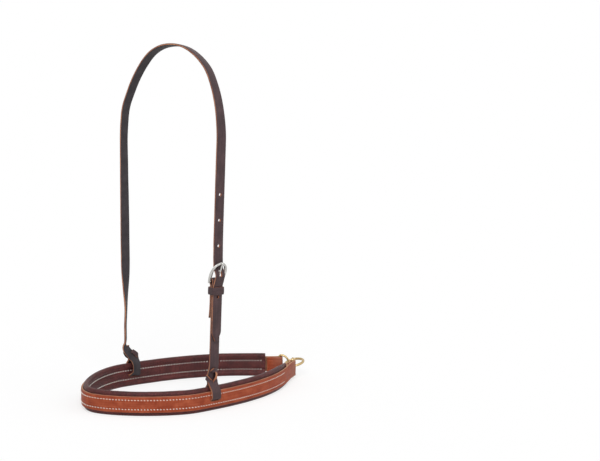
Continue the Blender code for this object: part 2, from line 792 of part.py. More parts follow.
def bow_outline():
    """Outline of the buckle's bow in its own plane, open at the bar."""
    spring = 0.011
    foot = -0.0022
    squareness = 0.62
    steps = 12
    outer = []
    inner = []
    for k in range(steps + 1):
        angle = math.pi * k / steps
        outer.append((BUCKLE_HALF_WIDTH * math.cos(angle),
                      spring + (BUCKLE_HEIGHT - spring) * math.sin(angle)))
        cosine = math.copysign(abs(math.cos(angle)) ** squareness, math.cos(angle))
        inner.append((BUCKLE_INNER_HALF_WIDTH * cosine,
                      spring + (BUCKLE_HEIGHT - BUCKLE_BOW_WIDTH - spring) * math.sin(angle) ** squareness))
    foot_outer = BUCKLE_INNER_HALF_WIDTH + BUCKLE_FOOT_WIDTH
    waist = (BUCKLE_HALF_WIDTH + foot_outer) / 2 + 0.0006
    outer = [(foot_outer, foot), (waist, spring / 2)] + outer + [(-waist, spring / 2), (-foot_outer, foot)]
    inner = [(BUCKLE_INNER_HALF_WIDTH, foot)] + inner + [(-BUCKLE_INNER_HALF_WIDTH, foot)]
    return outer + list(reversed(inner))


def build_buckle():
    """The buckle's bow with its bar, on a pivot."""
    item = curve_object("buckle_frame", [bow_outline()], True, "2D")
    item.data.fill_mode = "BOTH"
    rim = 0.0006
    item.data.extrude = BUCKLE_THICKNESS / 2 - rim
    item.data.bevel_depth = rim
    item.data.bevel_resolution = 0
    item.data.offset = -rim
    item.matrix_world = hanger_matrix(BAR_Z, BUCKLE_TILT)
    frame = to_mesh(item, STEEL)
    length = 2 * (BUCKLE_INNER_HALF_WIDTH + BUCKLE_FOOT_WIDTH / 2)
    bar = rod("buckle_bar", BAR_RADIUS, length,
              hanger_matrix(BAR_Z) @ Matrix.Rotation(math.pi / 2, 4, "Y"), 12)
    boolean(frame, hide_helper(bar), "UNION")
    return pivot("buckle_pivot", hanger_point(0.0, BAR_Z), [frame, bar, build_tongue()])


def build_tongue():
    """The tongue hooked round the bar and resting on the bow, on a pivot."""
    hook = BAR_RADIUS + GAP + TONGUE_RADIUS
    rest = BUCKLE_THICKNESS / 2 + GAP + TONGUE_RADIUS
    reach = BUCKLE_HEIGHT + 0.0012
    tilt = BUCKLE_TILT - math.asin((hook - rest) / (BUCKLE_HEIGHT - BUCKLE_BOW_WIDTH))
    leave = -tilt
    path = []
    turn = math.radians(272)
    steps = 12
    for k in range(steps + 1):
        angle = leave - turn + turn * k / steps
        path.append(hanger_point(hook * math.cos(angle), BAR_Z + hook * math.sin(angle)))
    shaft_steps = 4
    for k in range(1, shaft_steps + 1):
        run = reach * k / shaft_steps
        path.append(hanger_point(hook * math.cos(leave) + run * math.sin(tilt),
                                 BAR_Z + hook * math.sin(leave) + run * math.cos(tilt)))
    tongue = wire("buckle_tongue", path, TONGUE_RADIUS, STEEL, 2)
    return pivot("tongue_pivot", hanger_point(0.0, BAR_Z), [tongue])


def build_keeper():
    """The loop that holds the billet against the hanger."""
    back = -LAYER_PITCH / 2 - STRAP_THICKNESS / 2
    front = BILLET_N + STRAP_THICKNESS / 2
    play = 0.0005
    half_t = STRAP_WIDTH / 2 + play + KEEPER_THICKNESS / 2
    half_n = (front - back) / 2 + play + KEEPER_THICKNESS / 2
    keeper = strap_on_edge("keeper", wrap_path(half_t, half_n), KEEPER_HEIGHT, KEEPER_THICKNESS,
                           LATIGO, True)
    keeper.matrix_world = axes_matrix(ACROSS, OUTWARD, ACROSS.cross(OUTWARD),
                                      hanger_point((front + back) / 2, KEEPER_Z))
    return keeper


# Chin fittings

def build_dee(side, label):
    """A dee with its straight bar in the fold of the nose strap."""
    point, run, normal = plan_at(side * HALF_LENGTH)
    bar = point + normal * FOLD_N
    run = (run * math.cos(DEE_TURN) - normal * math.sin(DEE_TURN)).normalized()
    half = NOSE_STRAP_WIDTH / 2 + GAP * 2 + DEE_WIRE_RADIUS
    corner = 0.0030
    path = [(0.0, -half + corner), (0.0, half - corner)]
    for degrees in (60, 30):
        angle = math.radians(degrees)
        path.append((corner * (1 - math.sin(angle)), half - corner + corner * math.cos(angle)))
    steps = 12
    for k in range(steps + 1):
        angle = math.pi / 2 - math.pi * k / steps
        path.append((corner + (DEE_DEPTH - corner) * math.cos(angle), half * math.sin(angle)))
    for degrees in (30, 60):
        angle = math.radians(degrees)
        path.append((corner * (1 - math.sin(angle)), -half + corner - corner * math.cos(angle)))
    spots = [(bar + run * out).to_3d() + UP * (BAND_MID_Z + height) for out, height in path]
    dee = wire(label + "_dee", spots, DEE_WIRE_RADIUS, BRASS, 2, True)
    pivot(label + "_dee_pivot", bar.to_3d() + UP * BAND_MID_Z, [dee])


def ring_place():
    """Where the line through both dees meets the middle plane, and the ring's centre."""
    point, run, normal = plan_at(HALF_LENGTH)
    crossing = point + normal * FOLD_N + run * RING_IN_DEE
    reach = math.sqrt(RING_RADIUS ** 2 - crossing.y ** 2)
    axis = Vector((crossing.x, 0, RING_CENTRE_Z - reach * math.sin(RING_TILT)))
    return axis, axis + Vector((math.cos(RING_TILT), 0, math.sin(RING_TILT))) * reach


def build_ring():
    """The ring that joins both dees and takes the tie-down's snap."""
    axis, centre = ring_place()
    bpy.ops.mesh.primitive_torus_add(major_segments=36, minor_segments=10, major_radius=RING_RADIUS,
                                     minor_radius=RING_WIRE_RADIUS, location=centre,
                                     rotation=(0, -RING_TILT, 0))
    ring = bpy.context.object
    ring.name = "chin_ring"
    for collection in list(ring.users_collection):
        collection.objects.unlink(ring)
    parts.objects.link(ring)
    ring.data.materials.append(BRASS)
    pivot("ring_pivot", axis, [ring])


slot_cuts = [slot_cutter(-1, "near"), slot_cutter(1, "far")]
build_lining(slot_cuts)
build_nose_strap(slot_cuts)
build_threads()
swinging = build_hanger() + build_crown() + [build_buckle(), build_keeper()]
slot_line = (side_frame(-1)[0] + side_frame(1)[0]) / 2
pivot("crown_pivot", slot_line + UP * BAND_MID_Z, swinging)
build_dee(-1, "near")
build_dee(1, "far")
build_ring()

for item in parts.objects:
    if item.type == "MESH":
        item.data.shade_smooth()
        item.data.set_sharp_from_angle(angle=math.radians(40))
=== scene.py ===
"""Dress the padded tie-down noseband for its picture.

Metres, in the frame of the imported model: the origin is on the floor under the nose, +X runs
back to the chin, -Y is the buckle side and +Z is up. Every piece lies where the solid that it
stands for lies, and rides on the same body.
"""
import logging
from bisect import bisect_right
from dataclasses import dataclass, field
from enum import Enum
from math import asin, ceil, copysign, cos, exp, floor, pi, radians, sin, sqrt, tan, tau
from typing import Callable, Iterable, Sequence

import bmesh
import bpy
from bpy.types import Material, MeshPolygon, Node, NodeSocket, Object, World
from mathutils import Matrix, Vector, noise


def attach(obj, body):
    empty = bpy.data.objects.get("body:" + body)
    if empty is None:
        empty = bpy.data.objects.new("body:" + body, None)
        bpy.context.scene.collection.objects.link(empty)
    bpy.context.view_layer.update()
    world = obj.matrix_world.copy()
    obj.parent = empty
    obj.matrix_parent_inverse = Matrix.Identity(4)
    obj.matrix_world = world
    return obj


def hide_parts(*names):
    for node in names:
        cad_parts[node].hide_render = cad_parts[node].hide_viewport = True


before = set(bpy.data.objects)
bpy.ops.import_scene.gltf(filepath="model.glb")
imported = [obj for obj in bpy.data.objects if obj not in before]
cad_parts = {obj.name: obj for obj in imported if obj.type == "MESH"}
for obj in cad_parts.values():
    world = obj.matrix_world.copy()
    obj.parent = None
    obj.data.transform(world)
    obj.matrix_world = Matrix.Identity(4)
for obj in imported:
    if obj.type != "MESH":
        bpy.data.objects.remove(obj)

LOG = logging.getLogger("noseband")
UP = Vector((0.0, 0.0, 1.0))
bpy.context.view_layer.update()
Pair = tuple[float, float]
Triple = tuple[float, float, float]
Colour = Triple


class Side(Enum):
    """The two cheeks of the noseband."""

    NEAR = -1
    FAR = 1


class Face(Enum):
    """What a leather surface shows: its grain, its flesh side or a cut edge."""

    GRAIN = 0
    FLESH = 1
    EDGE = 2


# Small helpers for curves

def mm(*values: float) -> tuple[float, ...]:
    """Millimetres as metres."""
    return tuple(value / 1000 for value in values)


def ease(share: float) -> float:
    """Ease a share from 0 to 1."""
    share = min(max(share, 0.0), 1.0)
    return share * share * (3 - 2 * share)


def eased_over(value: float, span: Pair) -> float:
    """Ease a value over a span, given as its beginning and its length."""
    return ease((value - span[0]) / span[1])


def swelling(share: float, shape: Triple) -> float:
    """Height of a rounded swelling, given as its full height, place and width."""
    return shape[0] * exp(-((share - shape[1]) / shape[2]) ** 2)


def level_way(angle: float) -> Vector:
    """Level direction at an angle from +X."""
    return Vector((cos(angle), sin(angle), 0))


def flowing(rows: Sequence[Sequence[float]], steps: int) -> list[list[float]]:
    """Join rows of numbers by smooth spans.

    Args:
        rows: the rows to pass through, all of one length.
        steps: how many spans each gap is divided into.

    Returns:
        The rows of the finer course, both ends included.
    """
    course = []
    last = len(rows) - 1
    for k in range(last):
        around = (rows[max(k - 1, 0)], rows[k], rows[k + 1], rows[min(k + 2, last)])
        for step in range(steps):
            t = step / steps
            course.append([
                0.5 * (2 * b + (c - a) * t + (2 * a - 5 * b + 4 * c - d) * t * t
                       + (3 * b - a - 3 * c + d) * t ** 3)
                for a, b, c, d in zip(*around)])
    course.append(list(rows[-1]))
    return course


def evened(places: list[Vector], passes: int) -> list[Vector]:
    """Average each inner point with its neighbours.

    Args:
        places: the points of a course.
        passes: how many times they are averaged.

    Returns:
        The smoothed points, with both ends as they were.
    """
    for _ in range(passes):
        inner = [(a + 2 * b + c) / 4 for a, b, c in zip(places, places[1:], places[2:])]
        places = [places[0], *inner, places[-1]]
    return places


# Materials

class Board:
    """One node tree while it is being built."""

    def __init__(self, owner: Material | World) -> None:
        """Open a tree.

        Args:
            owner: the material or world that it belongs to.
        """
        owner.use_nodes = True
        self.owner = owner
        self.tree = owner.node_tree

    def add(self, kind: str, inputs: dict[str | int, object], **settings: object) -> Node:
        """Add a node.

        Args:
            kind: the node's type, without its ShaderNode prefix.
            inputs: a socket or a value for each named or numbered input.
            settings: the node's own properties.

        Returns:
            The new node.
        """
        node = self.tree.nodes.new("ShaderNode" + kind)
        for name, value in settings.items():
            setattr(node, name, value)
        for name, value in inputs.items():
            self.feed(node.inputs[name], value)
        return node

    def feed(self, socket: NodeSocket, value: object) -> None:
        """Give a socket its input.

        Args:
            socket: the input to feed.
            value: a socket to link to it, or a plain value.
        """
        if isinstance(value, NodeSocket):
            self.tree.links.new(value, socket)
        else:
            socket.default_value = value

    def place(self) -> NodeSocket:
        """The surface's own place in metres."""
        return self.add("TexCoord", {}).outputs["Object"]

    def value(self, name: str) -> NodeSocket:
        """A number that the mesh carries at each point."""
        return self.add("Attribute", {}, attribute_name=name).outputs["Fac"]

    def stretched(self, along: float, across: float) -> NodeSocket:
        """A place that runs with the strap.

        Args:
            along: scale along the strap, in cycles per metre.
            across: scale across it.

        Returns:
            The place, as a vector socket.
        """
        run = self.sum("MULTIPLY", self.value("run"), along)
        side = self.sum("MULTIPLY", self.value("side"), across)
        return self.add("CombineXYZ", {"X": run, "Y": side}).outputs[0]

    def noise(self, vector: NodeSocket, scale: float, detail: float = 3.0,
              distortion: float = 0.0) -> NodeSocket:
        """Soft noise, in cycles per metre."""
        inputs = {"Vector": vector, "Scale": scale, "Detail": detail, "Distortion": distortion}
        return self.add("TexNoise", inputs).outputs["Fac"]

    def cells(self, vector: NodeSocket, scale: float, feature: str) -> NodeSocket:
        """Distances in a cell pattern, in cells per metre."""
        inputs = {"Vector": vector, "Scale": scale}
        return self.add("TexVoronoi", inputs, feature=feature).outputs["Distance"]

    def sum(self, operation: str, first: object, second: object) -> NodeSocket:
        """One step of arithmetic."""
        return self.add("Math", {0: first, 1: second}, operation=operation).outputs[0]

    def blend(self, first: NodeSocket, second: NodeSocket, share: float) -> NodeSocket:
        """Add up two values, the second one with a share of the whole."""
        return self.sum("ADD", self.sum("MULTIPLY", first, 1 - share),
                        self.sum("MULTIPLY", second, share))

    def spread(self, value: NodeSocket, low: float, high: float, to_low: float,
               to_high: float) -> NodeSocket:
        """Stretch a range of values to another one, smoothly.

        Args:
            value: the value.
            low: where its range begins.
            high: where its range ends.
            to_low: result up to there.
            to_high: result from there on.

        Returns:
            The result, as a socket.
        """
        inputs = {"Value": value, "From Min": low, "From Max": high, "To Min": to_low,
                  "To Max": to_high}
        return self.add("MapRange", inputs, interpolation_type="SMOOTHSTEP").outputs[0]

    def ramp(self, value: NodeSocket, colours: Sequence[Colour], low: float,
             high: float) -> NodeSocket:
        """Colours spread evenly over a range of values.

        Args:
            value: the value that picks the colour.
            colours: the colours in order.
            low: value of the first colour.
            high: value of the last one.

        Returns:
            The colour, as a socket.
        """
        node = self.add("ValToRGB", {"Fac": value})
        stops = node.color_ramp.elements
        for k, colour in enumerate(colours):
            place = low + (high - low) * k / (len(colours) - 1)
            stop = stops[k] if k < 2 else stops.new(place)
            stop.position = place
            stop.color = (*colour, 1.0)
        return node.outputs["Color"]

    def mix(self, share: NodeSocket, first: NodeSocket, second: Colour) -> NodeSocket:
        """Mix a plain colour into another one."""
        node = self.add("Mix", {0: share, 6: first, 7: (*second, 1.0)}, data_type="RGBA")
        return node.outputs[2]

    def bump(self, height: NodeSocket, distance: float,
             below: NodeSocket | None = None) -> NodeSocket:
        """Relief of a real depth.

        Args:
            height: the relief, from 0 to 1.
            distance: its depth in metres.
            below: an earlier relief that it lies on.

        Returns:
            The normal, as a socket.
        """
        inputs = {"Height": height, "Distance": distance, "Strength": 1.0}
        if below is not None:
            inputs["Normal"] = below
        return self.add("Bump", inputs).outputs["Normal"]

    def finish(self, colour: NodeSocket, roughness: NodeSocket,
               normal: NodeSocket, **plain: float) -> Material:
        """Feed the Principled shader.

        Args:
            colour: base colour.
            roughness: roughness.
            normal: relief.
            plain: values set on the shader's own sockets, spaces as underscores.

        Returns:
            The finished material.
        """
        shader = self.tree.nodes["Principled BSDF"]
        self.feed(shader.inputs["Base Color"], colour)
        self.feed(shader.inputs["Roughness"], roughness)
        self.feed(shader.inputs["Normal"], normal)
        for name, value in plain.items():
            shader.inputs[name.replace("_", " ")].default_value = value
        return self.owner


def open_board(name: str) -> Board:
    """Start a new material."""
    return Board(bpy.data.materials.new(name))


@dataclass(frozen=True)
class LeatherFinish:
    """A tanned leather: its grain, its flesh side and its cut edge.

    Scales are cycles per metre, and depths are metres.
    """

    name: str
    slot: str
    colours: tuple[Colour, ...]
    # Painted shade: colour that the crevices between the pebbles are darkened towards.
    crevice_shade_colour: Colour
    # Lighter tone of the rims and of the leather near the folds: partly worn leather, partly a painted
    # highlight.
    worn_and_sheen: Colour
    flesh: tuple[Colour, ...]
    cut: tuple[Colour, ...]
    pebble_scale: float
    pebble_depth: float
    pebble_edge: float = 0.22
    pore_scale: float = 2600.0
    pore_depth: float = 0.00004
    mottle_scale: float = 70.0
    mottle_depth: float = 0.0004
    streak_scale: Pair = (22.0, 420.0)
    streak_share: float = 0.4
    # How strongly the painted shade darkens the crevices.
    crevice_shade_share: float = 0.5
    rim_inset: float = 0.0012
    rim_share: float = 0.5
    ragged_scale: float = 260.0
    roughness: Pair = (0.42, 0.6)
    gloss: float = 0.3
    flesh_scale: Pair = (160.0, 700.0)
    flesh_patch_scale: float = 90.0
    flesh_depth: float = 0.00012
    flesh_roughness: Pair = (0.62, 0.8)
    fuzz_scale: float = 1500.0
    fuzz_depth: float = 0.00008
    edge_scale: float = 1300.0
    edge_depth: float = 0.00015
    stain_scale: Pair = (55.0, 90.0)
    stain_share: float = 0.65
    edge_roughness: Pair = (0.6, 0.8)
    dull_gloss: float = 0.3

    def materials(self) -> list[Material]:
        """The grain, flesh and edge materials, in the order of Face."""
        return [self.grain(), self.flesh_side(), self.cut_edge()]

    def grain(self) -> Material:
        """Pebbled grain with pores, mottling and streaks along the strap, painted shade in the
        crevices, and rims and fold areas lightened partly as wear and partly as a painted highlight.

        Returns:
            The material of the grain side.
        """
        board = open_board(self.name + "_grain")
        place = board.place()
        mottle = board.noise(place, self.mottle_scale, 4, 0.4)
        streaks = board.noise(board.stretched(*self.streak_scale), 1.0, 4)
        colour = board.ramp(board.blend(mottle, streaks, self.streak_share), self.colours, 0.36, 0.64)
        edges = board.cells(place, self.pebble_scale, "DISTANCE_TO_EDGE")
        pebbles = board.spread(edges, 0.0, self.pebble_edge, 0.0, 1.0)
        # Painted shade: the crevices between the pebbles are darkened.
        crevice_shade = board.sum("MULTIPLY", board.sum("SUBTRACT", 1.0, pebbles), self.crevice_shade_share)
        colour = board.mix(crevice_shade, colour, self.crevice_shade_colour)
        # Rims and the leather near the folds are lightened, partly as wear and partly as a painted
        # highlight.
        inset = board.value("inset")
        ragged = board.sum("MULTIPLY", board.noise(place, self.ragged_scale), self.rim_inset)
        rim = board.spread(board.sum("ADD", inset, ragged), 0.6 * self.rim_inset,
                           1.9 * self.rim_inset, self.rim_share, 0.0)
        colour = board.mix(rim, colour, self.worn_and_sheen)
        wear_and_sheen = board.sum("MULTIPLY", board.value("wear_and_sheen"), board.spread(mottle, 0.3, 0.7, 0.5, 1.0))
        colour = board.mix(wear_and_sheen, colour, self.worn_and_sheen)
        relief = board.bump(board.cells(place, self.pore_scale, "F1"), self.pore_depth)
        relief = board.bump(pebbles, self.pebble_depth, relief)
        relief = board.bump(mottle, self.mottle_depth, relief)
        rough = board.spread(board.sum("ADD", mottle, crevice_shade), 0.3, 0.9, *self.roughness)
        return board.finish(colour, rough, relief, Specular_IOR_Level=self.gloss)

    def flesh_side(self) -> Material:
        """The smoothed flesh side, with short lying fibres.

        Returns:
            The material of the flesh side.
        """
        board = open_board(self.name + "_flesh")
        place = board.place()
        fibres = board.noise(board.stretched(*self.flesh_scale), 1.0, 6, 1.2)
        patches = board.noise(place, self.flesh_patch_scale)
        colour = board.ramp(board.blend(fibres, patches, 0.5), self.flesh, 0.38, 0.62)
        relief = board.bump(fibres, self.flesh_depth)
        relief = board.bump(board.noise(place, self.fuzz_scale, 4), self.fuzz_depth, relief)
        rough = board.spread(fibres, 0.3, 0.7, *self.flesh_roughness)
        return board.finish(colour, rough, relief, Specular_IOR_Level=self.dull_gloss)

    def cut_edge(self) -> Material:
        """A cut edge: tan fibres in layers, darker where dye and wax have crept in.

        Returns:
            The material of the cut edges.
        """
        board = open_board(self.name + "_cut_edge")
        fibres = board.noise(board.place(), self.edge_scale, 5, 1.0)
        stains = board.noise(board.stretched(*self.stain_scale), 1.0)
        colour = board.ramp(board.blend(fibres, stains, self.stain_share), self.cut, 0.34, 0.6)
        rough = board.spread(stains, 0.3, 0.7, *self.edge_roughness)
        return board.finish(colour, rough, board.bump(fibres, self.edge_depth),
                            Specular_IOR_Level=self.dull_gloss)


@dataclass(frozen=True)
class FibreFinish:
    """Thread or felt."""

    name: str
    slot: str
    colours: tuple[Colour, ...]
    scale: float
    depth: float
    roughness: Pair
    patch_scale: float = 120.0
    gloss: float = 0.25

    def material(self) -> Material:
        """Tangled fibres in a few near colours.

        Returns:
            The material.
        """
        board = open_board(self.name)
        place = board.place()
        fibres = board.noise(place, self.scale, 6, 1.5)
        patches = board.noise(place, self.patch_scale)
        colour = board.ramp(board.blend(fibres, patches, 0.5), self.colours, 0.36, 0.6)
        rough = board.spread(fibres, 0.3, 0.7, *self.roughness)
        return board.finish(colour, rough, board.bump(fibres, self.depth),
                            Specular_IOR_Level=self.gloss)


@dataclass(frozen=True)
class MetalFinish:
    """A polished metal with handling marks."""

    name: str
    slot: str
    colours: tuple[Colour, ...]
    roughness: Pair
    dent_depth: float = 0.00006
    patch_scale: float = 210.0
    scratch_scale: Triple = (300, 2600, 900)
    scratch_share: float = 0.3
    scratch_depth: float = 0.00001

    def material(self) -> Material:
        """Bright metal, duller in patches, with fine scratches and soft tumbling dents.

        Returns:
            The material.
        """
        board = open_board(self.name)
        place = board.place()
        patches = board.noise(place, self.patch_scale, 4, 0.6)
        drawn = board.add("Mapping", {"Vector": place, "Scale": self.scratch_scale}).outputs[0]
        scratches = board.noise(drawn, 1.0, 2)
        shade = board.blend(patches, scratches, self.scratch_share)
        colour = board.ramp(shade, self.colours, 0.34, 0.66)
        relief = board.bump(patches, self.dent_depth)
        relief = board.bump(scratches, self.scratch_depth, relief)
        return board.finish(colour, board.spread(shade, 0.3, 0.7, *self.roughness), relief,
                            Metallic=1.0)


RUSSET = LeatherFinish(
    "russet_harness", "russet_leather",
    colours=((0.24, 0.042, 0.017), (0.32, 0.066, 0.028), (0.40, 0.096, 0.044)),
    crevice_shade_colour=(0.14, 0.024, 0.011), worn_and_sheen=(0.30, 0.14, 0.10),
    flesh=((0.30, 0.12, 0.07), (0.42, 0.20, 0.12)),
    cut=((0.40, 0.16, 0.08), (0.56, 0.27, 0.15), (0.68, 0.40, 0.25)),
    pebble_scale=820.0, pebble_depth=0.00003, mottle_scale=85.0, crevice_shade_share=0.28,
    rim_inset=0.0008, rim_share=0.45, roughness=(0.42, 0.6), gloss=0.12)
BURGUNDY = LeatherFinish(
    "burgundy_lining", "burgundy_leather",
    colours=((0.060, 0.010, 0.010), (0.098, 0.016, 0.015), (0.145, 0.030, 0.028)),
    crevice_shade_colour=(0.018, 0.004, 0.005), worn_and_sheen=(0.18, 0.06, 0.05),
    flesh=((0.16, 0.09, 0.06), (0.25, 0.15, 0.10)),
    cut=((0.10, 0.035, 0.03), (0.20, 0.09, 0.06)),
    pebble_scale=480.0, pebble_depth=0.00022, pore_scale=1900.0, crevice_shade_share=0.75,
    rim_inset=0.0004, rim_share=0.1, roughness=(0.36, 0.56))
LATIGO = LeatherFinish(
    "dark_latigo", "latigo_leather",
    colours=((0.040, 0.022, 0.024), (0.062, 0.033, 0.036), (0.088, 0.050, 0.053)),
    crevice_shade_colour=(0.026, 0.013, 0.015), worn_and_sheen=(0.16, 0.075, 0.060),
    flesh=((0.026, 0.021, 0.024), (0.046, 0.038, 0.042)),
    cut=((0.17, 0.058, 0.032), (0.34, 0.13, 0.068), (0.50, 0.23, 0.125)),
    pebble_scale=900.0, pebble_depth=0.00003, mottle_scale=60.0, crevice_shade_share=0.3,
    rim_inset=0.0005, rim_share=0.35, roughness=(0.40, 0.58))
THREAD = FibreFinish("waxed_thread", "thread", ((0.72, 0.66, 0.58), (0.90, 0.87, 0.82)),
                     5200.0, 0.00006, (0.55, 0.7))
FELT = FibreFinish("wool_felt", "felt", ((0.38, 0.33, 0.27), (0.60, 0.55, 0.47)),
                   1800.0, 0.0004, (0.85, 0.95))
STEEL = MetalFinish("stainless", "stainless", ((0.47, 0.46, 0.44), (0.62, 0.61, 0.59)), (0.2, 0.34))
BRASS = MetalFinish("brass", "brass", ((0.34, 0.24, 0.11), (0.52, 0.38, 0.19), (0.68, 0.53, 0.30)),
                    (0.2, 0.4), 0.00015)


class Wardrobe:
    """Finished materials, each built once."""

    def __init__(self) -> None:
        """Build the leathers, fibres and metals."""
        self.leather = {finish.slot: finish.materials() for finish in (RUSSET, BURGUNDY, LATIGO)}
        self.plain = {finish.slot: [finish.material()] for finish in (THREAD, FELT, STEEL, BRASS)}

    def of(self, slot: str) -> list[Material]:
        """The materials of a slot."""
        return self.leather.get(slot) or self.plain[slot]


# Meshes

# Half width of the rounded ridge of a strap whose halves bend back
SOFT_RIDGE = 0.002


@dataclass
class Station:
    """One place along a strap: its middle, its width direction and the way its grain faces."""

    centre: Vector
    across: Vector
    outward: Vector
    half: float
    fold: float = 0.0
    run: float = 0.0
    # Share of the lighter tone near a fold: partly creasing wear, partly a painted highlight.
    wear_and_sheen: float = 0.0


StrapRow = tuple[Vector, Vector, float, float]


def stations_of(rows: list[StrapRow], passes: int) -> list[Station]:
    """Turn a course into stations.

    Args:
        rows: middle point, width direction, half width, and how far both halves bend back.
        passes: how many times the middle points are averaged.

    Returns:
        Stations whose grain faces the side of tangent x across.
    """
    places = evened([row[0] for row in rows], passes)
    course = []
    run = 0.0
    for k, (place, (_, across, half, fold)) in enumerate(zip(places, rows)):
        low, high = places[max(k - 1, 0)], places[min(k + 1, len(places) - 1)]
        tangent = (high - low).normalized()
        square = (across - tangent * across.dot(tangent)).normalized()
        if k:
            run += (place - places[k - 1]).length
        course.append(Station(place, square, tangent.cross(square), half, fold, run))
    return course


@dataclass(frozen=True)
class StrapSection:
    """Cross section of a flat strap: crowned grain, eased corners, creases and sewing grooves."""

    thickness: float
    corner: float = 0.0006
    crown: float = 0.00025
    crease_inset: float = 0.0
    crease_half: float = 0.0004
    crease_depth: float = 0.00018
    grooves: tuple[float, ...] = ()
    groove_depth: float = 0.0004
    groove_half: float = 0.0008
    edge_bulge: float = 0.00008
    spots: int = 6

    def grain_row(self, half: float) -> list[Pair]:
        """Points over the grain.

        Args:
            half: half width of the strap.

        Returns:
            Points as (across, depth below the crown), in order.
        """
        limit = half - self.corner
        row = [(limit * (2 * k / self.spots - 1), 0.0) for k in range(self.spots + 1)]
        if self.crease_inset:
            middle = max(half - self.crease_inset, 0.2 * half)
            for side in (-1, 1):
                row += [(side * (middle + shift), depth) for shift, depth in
                        ((-self.crease_half, 0.0), (0.0, self.crease_depth), (self.crease_half, 0.0))]
        for groove in self.grooves:
            row += [(groove + share * self.groove_half, self.groove_depth * depth) for share, depth in
                    ((-1.0, 0.0), (-0.55, 0.65), (0.0, 1.0), (0.55, 0.65), (1.0, 0.0))]
        return sorted(row)

    def ring(self, half: float) -> list[tuple[float, float, Face]]:
        """The whole outline.

        Args:
            half: half width of the strap.

        Returns:
            Points as (across, outward, what the stretch after it shows).
        """
        top = self.thickness / 2
        slant = self.corner * (1 - sqrt(0.5))
        limit = half - self.corner
        ring = [(a, top + self.crown * (1 - (a / half) ** 2) - depth, Face.GRAIN)
                for a, depth in self.grain_row(half)]
        rim = [(half - slant, top - slant), (half, top - self.corner), (half + self.edge_bulge, 0.0),
               (half, self.corner - top), (half - slant, slant - top)]
        kinds = (Face.GRAIN, Face.EDGE, Face.EDGE, Face.FLESH, Face.FLESH)
        ring += [(a, n, kind) for (a, n), kind in zip(rim, kinds)]
        ring += [(limit * share, -top, Face.FLESH) for share in (1.0, 0.5, 0.0, -0.5, -1.0)]
        kinds = (Face.FLESH, Face.EDGE, Face.EDGE, Face.GRAIN, Face.GRAIN)
        ring += [(-a, n, kind) for (a, n), kind in zip(reversed(rim), kinds)]
        return ring


class MeshMaker:
    """Meshes that carry what the leather shaders read."""

    # The last layer carries the lighter tone near the folds: partly wear, partly a painted highlight.
    LAYERS = ("run", "side", "inset", "wear_and_sheen")

    def __init__(self, name: str) -> None:
        """Start an empty mesh.

        Args:
            name: name of the object to be.
        """
        self.name = name
        self.shape = bmesh.new()
        self.layers = {layer: self.shape.verts.layers.float.new(layer) for layer in self.LAYERS}

    def point(self, place: Vector, run: float = 0.0, side: float = 0.0, inset: float = 0.01,
              wear_and_sheen: float = 0.0) -> bmesh.types.BMVert:
        """Add a vertex with its values.

        Args:
            place: where it is.
            run: length along the strap.
            side: place across it.
            inset: distance from the nearest cut edge.
            wear_and_sheen: how worn it is and how much painted highlight it takes, from 0 to 1.

        Returns:
            The vertex.
        """
        vertex = self.shape.verts.new(place)
        for layer, value in zip(self.LAYERS, (run, side, inset, wear_and_sheen)):
            vertex[self.layers[layer]] = value
        return vertex

    def skin(self, rows: list[list[bmesh.types.BMVert]], kinds: Sequence[int] | None = None,
             round_rows: bool = True, closed: bool = False) -> None:
        """Join rows of vertices by faces.

        Args:
            rows: rows of equal length.
            kinds: material number for each gap in a row.
            round_rows: whether each row closes on itself.
            closed: whether the last row joins the first.
        """
        count = len(rows[0])
        gaps = range(count if round_rows else count - 1)
        following = rows[1:] + rows[:1] if closed else rows[1:]
        for row, after in zip(rows, following):
            for k in gaps:
                m = (k + 1) % count
                face = self.shape.faces.new((row[k], row[m], after[m], after[k]))
                face.material_index = kinds[k] if kinds else 0

    def cap(self, row: list[bmesh.types.BMVert], kind: int = 0) -> None:
        """Close an end of a tube by a face."""
        self.shape.faces.new(row).material_index = kind

    def bar(self, rows: list[list[bmesh.types.BMVert]]) -> None:
        """Join rows of vertices and close both ends.

        Args:
            rows: rows of equal length, each one a ring.
        """
        self.skin(rows)
        self.cap(rows[0])
        self.cap(rows[-1])

    def done(self, materials: list[Material], recalculate: bool = True) -> Object:
        """Link the finished object with its materials.

        Args:
            materials: the materials, in the order of the faces' numbers.
            recalculate: whether closed faces are turned outwards.

        Returns:
            The new object.
        """
        if recalculate:
            bmesh.ops.recalc_face_normals(self.shape, faces=self.shape.faces)
        mesh = bpy.data.meshes.new(self.name)
        self.shape.to_mesh(mesh)
        self.shape.free()
        for material in materials:
            mesh.materials.append(material)
        item = bpy.data.objects.new(self.name, mesh)
        bpy.context.scene.collection.objects.link(item)
        return item


